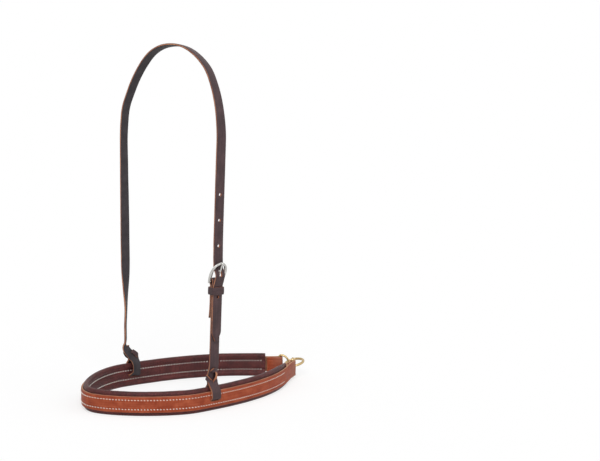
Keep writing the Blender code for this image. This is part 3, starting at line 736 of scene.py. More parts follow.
def loft_strap(name: str, course: list[Station], section: StrapSection,
               materials: list[Material], closed: bool = False,
               waviness: float = 0.0001) -> Object:
    """Loft a strap along its stations.

    Args:
        name: name of the piece.
        course: the stations.
        section: the strap's cross section.
        materials: grain, flesh and edge materials.
        closed: whether the strap is an endless loop.
        waviness: how far the faces rise and fall, in metres.

    Returns:
        The new object.
    """
    maker = MeshMaker(name)
    rows = []
    kinds: list[int] = []
    for station in course:
        ring = section.ring(station.half)
        kinds = [face.value for _, _, face in ring]
        row = []
        for across, outward, _ in ring:
            bent = min(abs(across) / SOFT_RIDGE, 1.0) * station.fold
            level = outward - abs(across) * sin(bent)
            flat = across * cos(bent)
            swell = waviness * noise.noise(Vector((station.run * 35, across * 90, len(name))))
            place = station.centre + station.across * flat + station.outward * (level + swell)
            row.append(maker.point(place, station.run, across, station.half - abs(across),
                                   station.wear_and_sheen))
        rows.append(row)
    maker.skin(rows, kinds, True, closed)
    if not closed:
        maker.cap(rows[0], Face.EDGE.value)
        maker.cap(rows[-1], Face.EDGE.value)
    return smooth_shaded(maker.done(materials), 50)


def smooth_shaded(item: Object, degrees: float) -> Object:
    """Shade smooth, but for sharp edges.

    Args:
        item: the object.
        degrees: the angle above which an edge is sharp.

    Returns:
        The same object.
    """
    item.data.shade_smooth()
    item.data.set_sharp_from_angle(angle=radians(degrees))
    return item


def tube(name: str, path: list[Vector], radii: Callable[[float], float],
         material: list[Material], sides: int = 16, closed: bool = False,
         squeeze: Callable[[float, float], float] | None = None) -> Object:
    """Sweep a round bar.

    Args:
        name: name of the piece.
        path: points of its middle line.
        radii: radius at each share of the length, from 0 to 1.
        material: its material, in a list.
        sides: points round it.
        closed: whether it is endless.
        squeeze: factor on the radius at a share of the length and an angle.

    Returns:
        The new object.
    """
    maker = MeshMaker(name)
    rows = []
    count = len(path)
    across = None
    run = 0.0
    for k, place in enumerate(path):
        low = path[k - 1] if k or closed else place
        high = path[(k + 1) % count] if k < count - 1 or closed else place
        tangent = (high - low).normalized()
        across = across or tangent.orthogonal().normalized()
        across = (across - tangent * across.dot(tangent)).normalized()
        up = tangent.cross(across)
        share = k / (count - 1)
        row = []
        for m in range(sides):
            angle = tau * m / sides
            radius = radii(share) * (squeeze(share, angle) if squeeze else 1.0)
            spot = place + (across * cos(angle) + up * sin(angle)) * radius
            row.append(maker.point(spot, run, radius * angle))
        rows.append(row)
        run += (high - place).length
    maker.skin(rows, None, True, closed)
    if not closed:
        maker.cap(rows[0])
        maker.cap(rows[-1])
    return smooth_shaded(maker.done(material), 60)


def apply_modifiers(item: Object) -> Object:
    """Bake an object's modifiers into its mesh.

    Args:
        item: the object.

    Returns:
        The same object, with plain mesh data.
    """
    graph = bpy.context.evaluated_depsgraph_get()
    mesh = bpy.data.meshes.new_from_object(item.evaluated_get(graph))
    item.modifiers.clear()
    item.data = mesh
    return item


def cut(item: Object, cutters: Iterable[Object], crossing: bool = False) -> Object:
    """Cut others out of an object, their material showing on the cut.

    Args:
        item: the object to cut.
        cutters: what is cut out of it.
        crossing: whether the object's own surface crosses itself anywhere.

    Returns:
        The cut object.
    """
    for cutter in cutters:
        modifier = item.modifiers.new("cut", "BOOLEAN")
        modifier.operation = "DIFFERENCE"
        modifier.solver = "EXACT"
        modifier.use_self = crossing
        modifier.material_mode = "TRANSFER"
        modifier.object = cutter
    bpy.context.view_layer.update()
    return apply_modifiers(item)


def prism(name: str, outline: list[Pair], depth: float, frame_of: Matrix,
          material: Material) -> Object:
    """Make a cutter.

    Args:
        name: name of the helper.
        outline: points in its own XY plane.
        depth: how deep it is along Z, half each way.
        frame_of: where that plane lies.
        material: what shows on the cut.

    Returns:
        The cutter.
    """
    maker = MeshMaker(name)
    rows = [[maker.point(frame_of @ Vector((x, y, z))) for x, y in outline]
            for z in (-depth / 2, depth / 2)]
    maker.bar(rows)
    return maker.done([material])


def stadium(length: float, height: float, steps: int = 6) -> list[Pair]:
    """Outline of a slot with round ends.

    Args:
        length: overall length.
        height: overall height.
        steps: steps in each round end.

    Returns:
        Points round the middle, as (along, up).
    """
    radius = height / 2
    outline = []
    for side in (1, -1):
        for k in range(steps + 1):
            angle = pi * (k / steps - 0.5)
            outline.append((side * (length / 2 - radius + radius * cos(angle)),
                            side * radius * sin(angle)))
    return outline


def remove(items: Iterable[Object]) -> None:
    """Delete helpers that have done their work."""
    for item in list(items):
        bpy.data.objects.remove(item, do_unlink=True)


def place_piece(item: Object, body: str, slot: str, *nodes: str) -> None:
    """Hand a finished piece to its body and hide the nodes that it stands for.

    Args:
        item: the piece.
        body: the body that it rides on.
        slot: the material slot of its finish; not used.
        nodes: the nodes that it stands for.
    """
    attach(item, body)
    if nodes:
        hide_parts(*nodes)
    LOG.info("%s: %d faces on %s", item.name, len(item.data.polygons), body)


# Plan of the band

@dataclass
class BandPlan:
    """The band's plan curve, along the middle of the lining's thickness."""

    nose_to_widest: float = 0.117
    half_width: float = 0.0994
    nose_bend: float = 0.0385
    widest_bend_front: float = 0.045
    widest_bend_rear: float = 0.170
    nose_to_fold: float = 0.350
    fold_half_gap: float = 0.015
    fold_angle: float = radians(24)
    fold_bend: float = 0.0385
    near_slot_from_nose: float = 0.189
    far_slot_from_nose: float = 0.1815
    near_lining_to_fold: float = 0.034
    far_lining_to_fold: float = 0.022
    mid_z: float = 0.01725
    dense: int = 500
    points: list[Vector] = field(default_factory=list)
    arcs: list[float] = field(default_factory=list)

    def __post_init__(self) -> None:
        """Measure the far half of the curve."""
        nose = Vector((0, 0))
        widest = Vector((self.nose_to_widest, self.half_width))
        fold = Vector((self.nose_to_fold, self.fold_half_gap))
        run = Vector((cos(self.fold_angle), -sin(self.fold_angle)))
        front = (nose, nose + Vector((0, self.nose_bend)),
                 widest - Vector((self.widest_bend_front, 0)), widest)
        rear = (widest, widest + Vector((self.widest_bend_rear, 0)), fold - run * self.fold_bend,
                fold)
        self.points = [self.bezier(front, k / self.dense) for k in range(self.dense)]
        self.points += [self.bezier(rear, k / self.dense) for k in range(self.dense + 1)]
        self.arcs = [0.0]
        for first, second in zip(self.points, self.points[1:]):
            self.arcs.append(self.arcs[-1] + (second - first).length)

    @staticmethod
    def bezier(handles: Sequence[Vector], t: float) -> Vector:
        """Look up a cubic curve.

        Args:
            handles: its two ends and the two handles between them.
            t: share of the way, from 0 to 1.

        Returns:
            The point.
        """
        s = 1 - t
        weights = (s ** 3, 3 * s * s * t, 3 * s * t * t, t ** 3)
        return sum((handle * weight for handle, weight in zip(handles, weights)), Vector((0, 0)))

    @property
    def half_length(self) -> float:
        """Length of the curve from the nose to the fold."""
        return self.arcs[-1]

    def lining_ends(self, inset: float = 0.0) -> Pair:
        """Lengths at the near and at the far end of the lining, less an inset."""
        return (self.near_lining_to_fold + inset - self.half_length,
                self.half_length - self.far_lining_to_fold - inset)

    def at(self, arc: float) -> tuple[Vector, Vector, Vector]:
        """Look up the curve.

        Args:
            arc: length from the nose, above 0 on the far side and below it on the near side.

        Returns:
            The point, the direction away from the nose and the outward direction, all level.
        """
        side = 1 if arc >= 0 else -1
        arc = min(abs(arc), self.half_length)
        k = min(bisect_right(self.arcs, arc), len(self.arcs) - 1) - 1
        share = (arc - self.arcs[k]) / (self.arcs[k + 1] - self.arcs[k])
        point = self.points[k].lerp(self.points[k + 1], share)
        run = self.tangent(k).lerp(self.tangent(k + 1), share).normalized()
        return (Vector((point.x, side * point.y, 0)), Vector((run.x, side * run.y, 0)),
                Vector((-run.y, side * run.x, 0)))

    def tangent(self, k: int) -> Vector:
        """Direction of the curve at one of its points.

        Args:
            k: number of the point.

        Returns:
            The direction away from the nose.
        """
        if k == 0:
            return Vector((0, 1))
        low = self.points[k - 1]
        high = self.points[min(k + 1, len(self.points) - 1)]
        return (high - low).normalized()

    def slot(self, side: Side) -> tuple[Vector, Vector, Vector]:
        """Slot point, direction to the chin and outward direction on one side."""
        near, far = -self.near_slot_from_nose, self.far_slot_from_nose
        return self.at(far if side is Side.FAR else near)

    @staticmethod
    def spread(ends: Pair, pitch: float) -> list[float]:
        """Lengths from one end to the other.

        Args:
            ends: the first length and the last one.
            pitch: about how far they are apart.

        Returns:
            The lengths, evenly spaced.
        """
        low, high = ends
        count = round((high - low) / pitch)
        return [low + (high - low) * k / count for k in range(count + 1)]


PLAN = BandPlan()


@dataclass
class StrapSlots:
    """The two slots through the band, for the hangers."""

    length: float = 0.0172
    height: float = 0.0053
    depth: float = 0.05

    def cutters(self, material: Material) -> list[Object]:
        """Make a cutter for each side.

        Args:
            material: what shows on the cut.

        Returns:
            The cutters.
        """
        made = []
        for side in Side:
            point, run, outward = PLAN.slot(side)
            place = Matrix((run, UP, outward)).transposed().to_4x4()
            place.translation = point + UP * PLAN.mid_z
            made.append(prism("slot_cut", stadium(self.length, self.height), self.depth, place,
                              material))
        return made


# The padded lining

@dataclass
class PaddedLining:
    """The rolled and sewn lining with its felt."""

    wardrobe: Wardrobe
    width: float = 0.0355
    cover: float = 0.0014
    front: float = 0.0032
    roll_radius: float = 0.0042
    roll_shift: float = 0.0010
    seam_height: float = 0.00675
    seam_level: float = -0.0026
    pad_level: float = -0.0040
    lip: float = 0.0015
    gap: float = 0.0003
    stitch_pitch: float = 0.0044
    pucker: float = 0.00028
    pucker_reach: float = 0.0026
    swell: float = 0.00035
    front_share: float = 0.35
    rib_pitch: float = 0.0011
    roll_turn: float = radians(225)
    slim_length: float = 0.038
    slim_size: float = 0.66
    slim_foot: float = 0.0016
    slim_blend: float = 0.0026
    felt_inset: float = 0.0006
    cord_pitch: float = 0.004
    cord_lumps: float = 0.05
    pad_pitch: float = 0.0035
    pad_from_seam: float = 0.00075
    pad_belly: float = 0.0003

    def slimness(self, arc: float) -> float:
        """Size of the upper roll at a place, which gets thinner towards its near end."""
        share = (PLAN.lining_ends()[0] + self.slim_length - arc) / self.slim_length
        return 1 - (1 - self.slim_size) * ease(share)

    def slimmed(self, arc: float, outward: float, height: float) -> Pair:
        """Move a place of the upper roll in towards the roll's foot where the roll is thin.

        Args:
            arc: length along the band.
            outward: outward place.
            height: height above the band's middle.

        Returns:
            The moved place, as (outward, height).
        """
        foot = self.width / 2 - 2 * self.roll_radius
        share = ease((height - foot + self.slim_foot) / self.slim_blend) * (1 - self.slimness(arc))
        return (outward - (outward + self.roll_shift) * share,
                height - max(height - foot, 0.0) * share)

    def half_outline(self) -> list[Pair]:
        """Upper half of the cover's outer face.

        Returns:
            Points as (outward, height), from the front lip to the middle of the pad.
        """
        centre = self.width / 2 - self.roll_radius
        outline = [(self.front, self.lip), (self.front, centre * 0.5), (self.front, centre * 0.8)]
        arc_steps = 20
        for k in range(arc_steps + 1):
            angle = self.roll_turn * k / arc_steps
            outline.append((-self.roll_shift + self.roll_radius * cos(angle),
                            centre + self.roll_radius * sin(angle)))
        low_n, low_h = outline[-1]
        valley = flowing([(low_n, low_h), (self.seam_level - 0.0007, self.seam_height + 0.0012),
                          (self.seam_level, self.seam_height),
                          (self.seam_level - 0.0006, self.seam_height - 0.0012),
                          (self.pad_level + 0.0002, self.seam_height * 0.55),
                          (self.pad_level, 0.0)], 4)
        return outline + [(n, h) for n, h in valley[1:]]

    def outline(self) -> list[Pair]:
        """The cover's outer face, as (outward, height above the band's middle)."""
        upper = self.half_outline()
        return upper + [(n, -h) for n, h in reversed(upper[:-1])]

    def relief(self, arc: float, outward: float, height: float) -> float:
        """How far the padding swells and the stitches pull.

        Args:
            arc: length along the band.
            outward: outward place on the cover.
            height: its height above the band's middle.

        Returns:
            The shift along the cover's normal, in metres.
        """
        seam = abs(abs(height) - self.seam_height)
        pull = exp(-(seam / self.pucker_reach) ** 2)
        phase = cos(tau * arc / self.stitch_pitch)
        soft = noise.noise(Vector((arc * 38, height * 95, outward * 60)))
        fine = noise.noise(Vector((arc * 130, height * 210, 5.0)))
        amount = 1.0 if outward < 0 else self.front_share
        return amount * (pull * self.pucker * (phase - 0.6)
                         + self.swell * (1 - 0.8 * pull) * (soft + 0.35 * fine))

    def build_cover(self) -> Object:
        """Loft the cover and give it its thickness.

        Returns:
            The cover, still without its slots.
        """
        maker = MeshMaker("lining_cover")
        outline = self.outline()
        turns = []
        for k in range(len(outline)):
            before, after = outline[max(k - 1, 0)], outline[min(k + 1, len(outline) - 1)]
            along = Vector((after[0] - before[0], after[1] - before[1])).normalized()
            turns.append(Vector((along.y, -along.x)))
        rows = []
        near_end, far_end = PLAN.lining_ends()
        for arc in PLAN.spread((near_end, far_end), self.rib_pitch):
            point, _, outward = PLAN.at(arc)
            row = []
            for (n, h), turn in zip(outline, turns):
                rise = self.relief(arc, n, h)
                level, height = self.slimmed(arc, n + turn.x * rise, h + turn.y * rise)
                place = point + outward * level + UP * max(PLAN.mid_z + height, 0.0)
                row.append(maker.point(place, arc, height, min(arc - near_end, far_end - arc)))
            rows.append(row)
        maker.skin(rows, None, False)
        cover = maker.done(self.wardrobe.of("burgundy_leather"), False)
        probe = cover.data.polygons[len(outline) * 3]
        solid = cover.modifiers.new("thickness", "SOLIDIFY")
        solid.thickness = self.cover
        solid.offset = 1 if self.faces_in(probe) else -1
        solid.use_even_offset = True
        solid.material_offset = Face.FLESH.value
        solid.material_offset_rim = Face.EDGE.value
        return apply_modifiers(cover)

    @staticmethod
    def faces_in(face: MeshPolygon) -> bool:
        """Whether a face of the upper front flap looks into the lining."""
        return face.normal.dot(PLAN.at(PLAN.lining_ends()[0])[2]) < 0

    def build_cord(self, name: str, sign: int) -> Object:
        """Make the felt cord in a roll.

        Args:
            name: name of the piece.
            sign: 1 for the upper roll, -1 for the lower one.

        Returns:
            The cord.
        """
        radius = self.roll_radius - self.cover - 2 * self.gap
        centre = sign * (self.width / 2 - self.roll_radius)
        path, thin = [], []
        for arc in PLAN.spread(PLAN.lining_ends(self.felt_inset), self.cord_pitch):
            point, _, outward = PLAN.at(arc)
            size = self.slimness(arc) if sign > 0 else 1.0
            thin.append((radius - self.roll_radius * (1 - size)) / radius)
            drop = self.roll_radius * (1 - size)
            path.append(point + outward * -self.roll_shift + UP * (PLAN.mid_z + centre - drop))
        lowest = (self.cover + 2 * self.gap - (PLAN.mid_z + centre)) / radius

        def squeeze(share: float, angle: float) -> float:
            """Make the felt uneven, and flatten the lower cord against the floor of its roll.

            Args:
                share: share of the cord's length.
                angle: direction from its middle.

            Returns:
                A factor on the radius.
            """
            lump = 1 - self.cord_lumps * abs(noise.noise(Vector((share * 220, angle * 2, sign))))
            low = min(sin(angle), cos(angle), -sin(angle), -cos(angle))
            return min(lump, abs(lowest / low)) if sign < 0 and low < lowest else lump

        def radii(share: float) -> float:
            """Thin the cord with its roll."""
            return radius * thin[round(share * (len(thin) - 1))]

        return tube(name, path, radii, self.wardrobe.of("felt"), 18, squeeze=squeeze)

    def build_pad(self, cutters: list[Object]) -> Object:
        """Make the felt between the two seams.

        Args:
            cutters: what the slots are cut with.

        Returns:
            The pad.
        """
        maker = MeshMaker("felt_pad")
        front = self.front - self.cover - self.gap
        back = self.pad_level + self.cover + self.gap
        pinch = self.seam_level + self.cover + self.gap
        half = self.seam_height - self.pad_from_seam
        belly = back + self.pad_belly
        ring = [(front, half), (pinch, half), (belly, half * 0.5), (back, 0.0),
                (belly, -half * 0.5), (pinch, -half), (front, -half)]
        rows = []
        for arc in PLAN.spread(PLAN.lining_ends(self.felt_inset), self.pad_pitch):
            point, _, outward = PLAN.at(arc)
            rows.append([maker.point(point + outward * n + UP * (PLAN.mid_z + h), arc, h)
                         for n, h in ring])
        maker.bar(rows)
        return cut(smooth_shaded(maker.done(self.wardrobe.of("felt")), 40), cutters)

    def dress(self, cutters: list[Object]) -> None:
        """Build the lining's pieces and hand them over.

        Args:
            cutters: what the slots are cut with.
        """
        cover = smooth_shaded(cut(self.build_cover(), cutters), 55)
        place_piece(cover, "noseband", "burgundy_leather", "noseband_lining")
        felt = [(self.build_cord("upper_felt_cord", 1), "upper_edge_cord"),
                (self.build_cord("lower_felt_cord", -1), "lower_edge_cord"),
                (self.build_pad(cutters), "middle_pad")]
        for piece, node in felt:
            place_piece(piece, "noseband", "felt", node)


# The nose strap

@dataclass
class NoseStrap:
    """The russet strap, folded round both dees."""

    wardrobe: Wardrobe
    width: float = 0.0235
    thickness: float = 0.0030
    level: float = 0.0050
    fold_radius: float = 0.0034
    turn_back: float = 0.0195
    turn_gap: float = 0.0005
    turn_ease: float = 0.012
    turn_steps: int = 22
    curl: float = 0.0022
    curl_from: float = 0.55
    curl_run: float = 0.45
    pitch: float = 0.0015
    before_fold: float = 0.0015
    # Reach and strength of the lighter tone by the folds: partly wear, partly a painted highlight.
    worn_and_sheen_length: float = 0.030
    worn_and_sheen_share: float = 0.75
    ripple: float = 0.00022
    ripple_length: float = 0.0032
    unevenness: float = 0.012

    @property
    def fold_level(self) -> float:
        """Outward place of the dee's bar."""
        return self.level - self.fold_radius

    def fold_course(self, side: int) -> list[Vector]:
        """Course round one dee's bar and back, with the end curling off the lining.

        Args:
            side: 1 for the far fold, -1 for the near one.

        Returns:
            Level middle points, from the band to the turned-back end.
        """
        point, run, outward = PLAN.at(side * PLAN.half_length)
        bar = point + outward * self.fold_level
        course = []
        for degrees in range(90, -106, -7):
            angle = radians(degrees)
            course.append(bar + run * self.fold_radius * cos(angle)
                          + outward * self.fold_radius * sin(angle))
        turned = self.level - self.thickness - self.turn_gap
        low = (course[-1] - point).dot(outward)
        start = (course[-1] - point).dot(run)
        for k in range(1, self.turn_steps + 1):
            back = start + (-self.turn_back - start) * k / self.turn_steps
            share = ease((start - back) / (self.turn_ease + start))
            place, _, bent = PLAN.at(side * (PLAN.half_length + back))
            curl = self.curl * ease((k / self.turn_steps - self.curl_from) / self.curl_run) ** 2
            course.append(place + bent * (low + (turned - low) * share - curl))
        return course

    def course(self) -> list[Station]:
        """Lay the strap out.

        Returns:
            Stations from the near turned-back end, round the nose, to the far one.
        """
        near = list(reversed(self.fold_course(-1)))
        far = self.fold_course(1)
        main = []
        limit = PLAN.half_length - self.before_fold
        for arc in PLAN.spread((-limit, limit), self.pitch):
            point, _, outward = PLAN.at(arc)
            main.append(point + outward * self.level)
        level = evened(near + main + far, 2)
        course = stations_of([(place + UP * PLAN.mid_z, -UP, self.width / 2, 0.0)
                              for place in level], 0)
        near_fold, far_fold = len(near), len(near) + len(main)
        for station in course:
            run = station.run
            gap = min(abs(run - course[near_fold].run), abs(course[far_fold].run - run))
            # Near the folds the leather takes the lighter tone: partly creasing wear, partly a painted
            # highlight.
            station.wear_and_sheen = self.worn_and_sheen_share * (1 - ease(gap / self.worn_and_sheen_length))
            wave = sin(run / self.ripple_length + sin(run * 90))
            station.centre = station.centre + station.outward * (self.ripple * station.wear_and_sheen * wave)
            station.half *= 1 + self.unevenness * noise.noise(Vector((run * 30, 2.0, 0.0)))
        return course

    def dress(self, cutters: list[Object]) -> None:
        """Build the strap and hand it over.

        Args:
            cutters: what the slots are cut with.
        """
        section = StrapSection(self.thickness, corner=0.0009, crown=0.0002, spots=8,
                               grooves=(-0.00675, 0.00675))
        strap = loft_strap("nose_strap_leather", self.course(), section,
                           self.wardrobe.of("russet_leather"), waviness=0.00015)
        place_piece(smooth_shaded(cut(strap, cutters), 50), "noseband", "russet_leather",
                    "nose_strap")


# Stitching

@dataclass
class Seams:
    """The four rows of lock stitches.

    The two rows on the face stop short of the near end and sink into the leather before it.
    """

    wardrobe: Wardrobe
    pitch: float = 0.0044
    face_length: float = 0.0020
    back_length: float = 0.0016
    face_radius: float = 0.00060
    back_radius: float = 0.00072
    face_level: float = 0.00668
    back_level: float = -0.00285
    height: float = 0.00675
    end_inset: float = 0.004
    hidden_near_end: float = 0.023
    near_sink: float = 0.0004
    near_sink_from: float = 0.22
    near_sink_run: float = 0.07
    slant: float = 0.0002
    lift: float = 0.00012
    slip: float = 0.0002
    ply_depth: float = 0.13
    ply_turn: float = 14
    sides: int = 8

    def stitch(self, maker: MeshMaker, arc: float, level: float, height: float, bury: int) -> None:
        """Add one stitch that rises from its hole, lies on the leather and goes down again.

        Args:
            maker: the mesh of its row.
            arc: length along the band.
            level: outward place of the thread's middle.
            height: height above the band's middle.
            bury: 1 on the face, -1 on the back.
        """
        length = self.face_length if bury > 0 else self.back_length
        size = self.face_radius if bury > 0 else self.back_radius
        if bury > 0:
            level -= self.near_sink * ease((-arc - self.near_sink_from) / self.near_sink_run)
        rings = ((-0.5, 0.0011, 0.55), (-0.43, 0.0004, 0.85), (-0.3, 0.0, 1.0), (0.0, -0.0001, 1.1),
                 (0.3, 0.0, 1.0), (0.43, 0.0004, 0.85), (0.5, 0.0011, 0.55))
        lift = self.lift * noise.noise(Vector((arc * 900, height * 50, level * 50)))
        slip = self.slip * noise.noise(Vector((arc * 700, 3.0, height * 300)))
        rows = []
        for share, depth, thick in rings:
            spot = arc + length * share
            point, _, outward = PLAN.at(spot)
            middle = (point + outward * (level - bury * (depth - lift))
                      + UP * (PLAN.mid_z + height + slip + self.slant * 2 * share))
            row = []
            for m in range(self.sides):
                angle = tau * m / self.sides
                twist = 1 + self.ply_depth * cos(3 * angle - share * self.ply_turn)
                radius = size * thick * twist
                row.append(maker.point(middle + outward * radius * cos(angle)
                                       + UP * radius * sin(angle), spot, radius * angle))
            rows.append(row)
        maker.bar(rows)

    def dress(self) -> None:
        """Sew every row and hand it over."""
        low, high = PLAN.lining_ends(self.end_inset)
        first, last = ceil(low / self.pitch), floor(high / self.pitch)
        for label, sign in (("upper", 1), ("lower", -1)):
            for kind, level, bury in (("face", self.face_level, 1), ("back", self.back_level, -1)):
                maker = MeshMaker(f"{label}_{kind}_stitches")
                skipped = round(self.hidden_near_end / self.pitch) if kind == "face" else 0
                for k in range(first + skipped, last):
                    arc = (k + 0.5) * self.pitch
                    self.stitch(maker, arc, level, sign * self.height, bury)
                row = smooth_shaded(maker.done(self.wardrobe.of("thread")), 60)
                place_piece(row, "noseband", "thread", f"{label}_seam_{kind}_thread")


# The crown strap, the hanger and their knots

@dataclass
class KnotPlace:
    """Frame of one slot: along the band, outward and up."""

    side: Side

    def __post_init__(self) -> None:
        """Look up the slot."""
        self.point, self.run, self.outward = PLAN.slot(self.side)

    def at(self, along: float, outward: float, height: float) -> Vector:
        """World point of a place in the frame."""
        return self.point + self.run * along + self.outward * outward + UP * height


# Rows of each half of a leg above the foot of its slit, laid out as those of Knot.lobe
KNOT_TURNS: dict[tuple[Side, int], list[tuple[float, ...]]] = {
    (Side.NEAR, 1): [
        (4.9, 1.6, 43.3, 0.85, -0.3, -0.35, 3.6), (5.8, 1.6, 46.5, 0.65, -0.7, -0.25, 3.2),
        (5.6, 2.6, 50.5, 0.6, -0.8, 0, 3.0), (5.0, 3.6, 54.5, 0.55, -0.75, 0.35, 2.9),
        (3.4, 4.8, 58.2, 0.3, -0.35, 0.88, 2.8), (0.0, 5.4, 59.6, -0.2, -0.1, 0.97, 2.7),
        (-2.4, 4.2, 58.4, -0.6, 0.1, 0.8, 2.6), (-3.0, 1.4, 56.6, -0.75, 0.1, 0.65, 2.6),
        (-3.0, -1.8, 55.0, -0.75, 0, 0.65, 2.5)],
    (Side.NEAR, -1): [
        (-4.6, 1.2, 43, -0.85, -0.3, -0.35, 3.6), (-6.8, 0.2, 45.4, -0.6, -0.7, -0.4, 3.2),
        (-7.9, -1.4, 47.6, -0.3, -0.6, -0.75, 3.0), (-6.9, -3.7, 48.4, 0, -0.3, -0.95, 2.8),
        (-4.4, -5.2, 48.8, 0, 0, -1, 2.8), (-0.5, -5.6, 49.0, 0, 0, -1, 2.8)],
    (Side.FAR, 1): [
        (5.4, 0.9, 42.4, 0.85, -0.3, -0.4, 3.4), (8.2, -0.9, 43.0, 0.3, -0.6, -0.75, 3.5),
        (8.4, -3.6, 44.4, -0.1, -0.4, -0.9, 3.4), (6.2, -5.2, 47.0, -0.3, -0.2, -0.93, 3.2),
        (3.0, -4.8, 50.4, -0.4, 0, -0.9, 3.0), (-0.4, -3.0, 53.4, -0.5, 0, -0.85, 2.8)],
    (Side.FAR, -1): [
        (-5.6, 1.3, 45, -0.85, 0.3, -0.4, 3.6), (-7.6, 1.8, 48, -0.6, 0.5, -0.6, 3.4),
        (-9.4, 2.6, 51.6, -0.3, 0.6, -0.7, 3.2), (-8.6, 4.2, 55, 0, 0.5, -0.85, 3.0),
        (-5.4, 4.6, 57.4, 0, 0.2, -1, 3.0), (-2.0, 3.0, 58.4, 0, 0, -1, 2.8)]}


@dataclass
class Knot:
    """A bleed knot: the standing strap drops through the slit in its own outer leg.

    Rows of numbers are millimetres along the band, outward and up.
    """

    wardrobe: Wardrobe
    place: KnotPlace
    thickness: float = 0.0026
    quarter: float = 3.9
    slit_from: float = 40.4
    far_narrowing: float = 0.42
    narrow_from: float = 24
    narrow_run: float = 10
    edge_bevel: float = 0.0005

    def gather(self, strap_along: float, strap_level: float) -> list[tuple[float, ...]]:
        """Rows of the standing strap from the knot's top down to the slot.

        Args:
            strap_along: place of the strap above the knot along the band, in millimetres.
            strap_level: its outward place, in millimetres.

        Returns:
            Rows of along, outward, height, half width and fold in degrees.
        """
        shift, level = strap_along, strap_level
        if self.place.side is Side.NEAR:
            return [(shift, level, 68, 7.95, 0), (shift, level - 0.4, 64, 7.95, 0),
                    (shift, level - 1.4, 60, 7.9, 0), (0, 0.5, 56, 7.7, 5), (0, -0.5, 52, 7.3, 10),
                    (0.2, -1.4, 48, 7.0, 12), (0.4, -2.2, 44, 7.2, 8), (0.9, -3.3, 40.5, 7.0, 0),
                    (1.5, -4.9, 37.6, 6.5, 0), (1.6, -6.6, 34.6, 6.4, 0), (0.8, -7.3, 31, 7.2, 0),
                    (0, -7.4, 22.5, 7.95, 0), (0, -6.6, 18.9, 7.95, 0), (0, -4.4, 17.4, 7.95, 0),
                    (0, 0, 17.25, 7.95, 0)]
        return [(shift - 1.4, level, 70, 7.95, 0), (shift - 2.0, level, 66, 7.9, 0),
                (-9.8, 3.1, 61.5, 7.3, 6), (-9.8, 2.2, 57.5, 6.9, 14), (-8.0, 1.0, 53.5, 6.8, 20),
                (-4.8, -0.4, 49.5, 6.8, 20), (-1.4, -1.8, 45.5, 7.0, 10), (0.8, -3.2, 41.8, 7.2, 10),
                (1.6, -5.0, 38.2, 7.4, 24), (1.8, -6.6, 34.6, 7.7, 34), (1.8, -7.3, 30.5, 7.9, 38),
                (1.6, -7.3, 22.5, 7.95, 36), (0.8, -6.6, 18.9, 7.95, 14), (0, -4.4, 17.4, 7.95, 0),
                (0, 0, 17.25, 7.95, 0)]

    def lobe(self, sign: int) -> list[tuple[float, ...]]:
        """Lay out one half of the slit leg.

        Args:
            sign: 1 for the half towards the chin, -1 for the one towards the nose.

        Returns:
            Rows of place, direction to the outer edge and half width.
        """
        leg = [(0, 17.25), (6.2, 17.3), (8.6, 18.4), (9.55, 21.2), (9.5, 26), (8.4, 30.5),
               (6.0, 34), (3.6, 36.6), (2.2, 38.8), (1.6, 40.4)]
        side = self.place.side
        narrowing = 0.0 if side is Side.NEAR else self.far_narrowing
        rows = []
        for outward, height in leg:
            half = self.quarter * (1 - narrowing * ease((height - self.narrow_from) / self.narrow_run))
            rows.append((sign * half, outward, height, sign, 0, 0, half))
        return rows + KNOT_TURNS[side, sign]

    def sheet_rows(self, sign: int, columns: int = 5) -> list[list[tuple[Vector, float, float]]]:
        """Spread one half of the slit leg over its width.

        Args:
            sign: which half.
            columns: steps from one edge to the other.

        Returns:
            Rows of points from the slit outwards, each with its run and side.
        """
        rows = []
        for row in flowing(self.lobe(sign), 5):
            middle = Vector(mm(*row[:3]))
            outer = Vector(row[3:6]).normalized() * row[6] / 1000
            points = []
            for k in range(columns + 1):
                share = 2 * k / columns - 1
                spot = middle + outer * share
                if row[2] <= self.slit_from and k == 0:
                    spot.x = 0.0
                points.append((self.place.at(*spot), row[2] / 1000, share * row[6] / 1000))
            rows.append(points)
        return rows

    def build_leg(self) -> Object:
        """Make the outer leg and the two halves that it splits into.

        Returns:
            The leg.
        """
        maker = MeshMaker(f"{self.place.side.name.lower()}_knot_leg")
        for sign in (-1, 1):
            rows = []
            for points in self.sheet_rows(sign):
                verts = [maker.point(spot, run, side, 0.004 - abs(side)) for spot, run, side in points]
                rows.append(verts[::-1] if sign < 0 else verts)
            maker.skin(rows, None, False)
        bmesh.ops.remove_doubles(maker.shape, verts=maker.shape.verts, dist=1e-6)
        leg = maker.done(self.wardrobe.of("latigo_leather"), False)
        probe = min(leg.data.polygons, key=lambda face: abs(face.center.z - 0.028))
        if probe.normal.dot(self.place.outward) < 0:
            leg.data.flip_normals()
        return self.thicken(leg)

    def thicken(self, leaf: Object) -> Object:
        """Give a leaf of leather its thickness and eased, bare edges.

        Args:
            leaf: the leaf, without any thickness.

        Returns:
            The same object.
        """
        solid = leaf.modifiers.new("thickness", "SOLIDIFY")
        solid.thickness = self.thickness
        solid.offset = 0
        solid.use_even_offset = False
        solid.material_offset = Face.FLESH.value
        solid.material_offset_rim = Face.EDGE.value
        bevel = leaf.modifiers.new("eased_edges", "BEVEL")
        bevel.width = self.edge_bevel
        bevel.segments = 2
        bevel.limit_method = "ANGLE"
        bevel.angle_limit = radians(55)
        bevel.material = Face.EDGE.value
        return smooth_shaded(apply_modifiers(leaf), 50)

    def dress(self) -> None:
        """Build the knot's own pieces and hand them over."""
        place_piece(self.build_leg(), "crown", "latigo_leather")


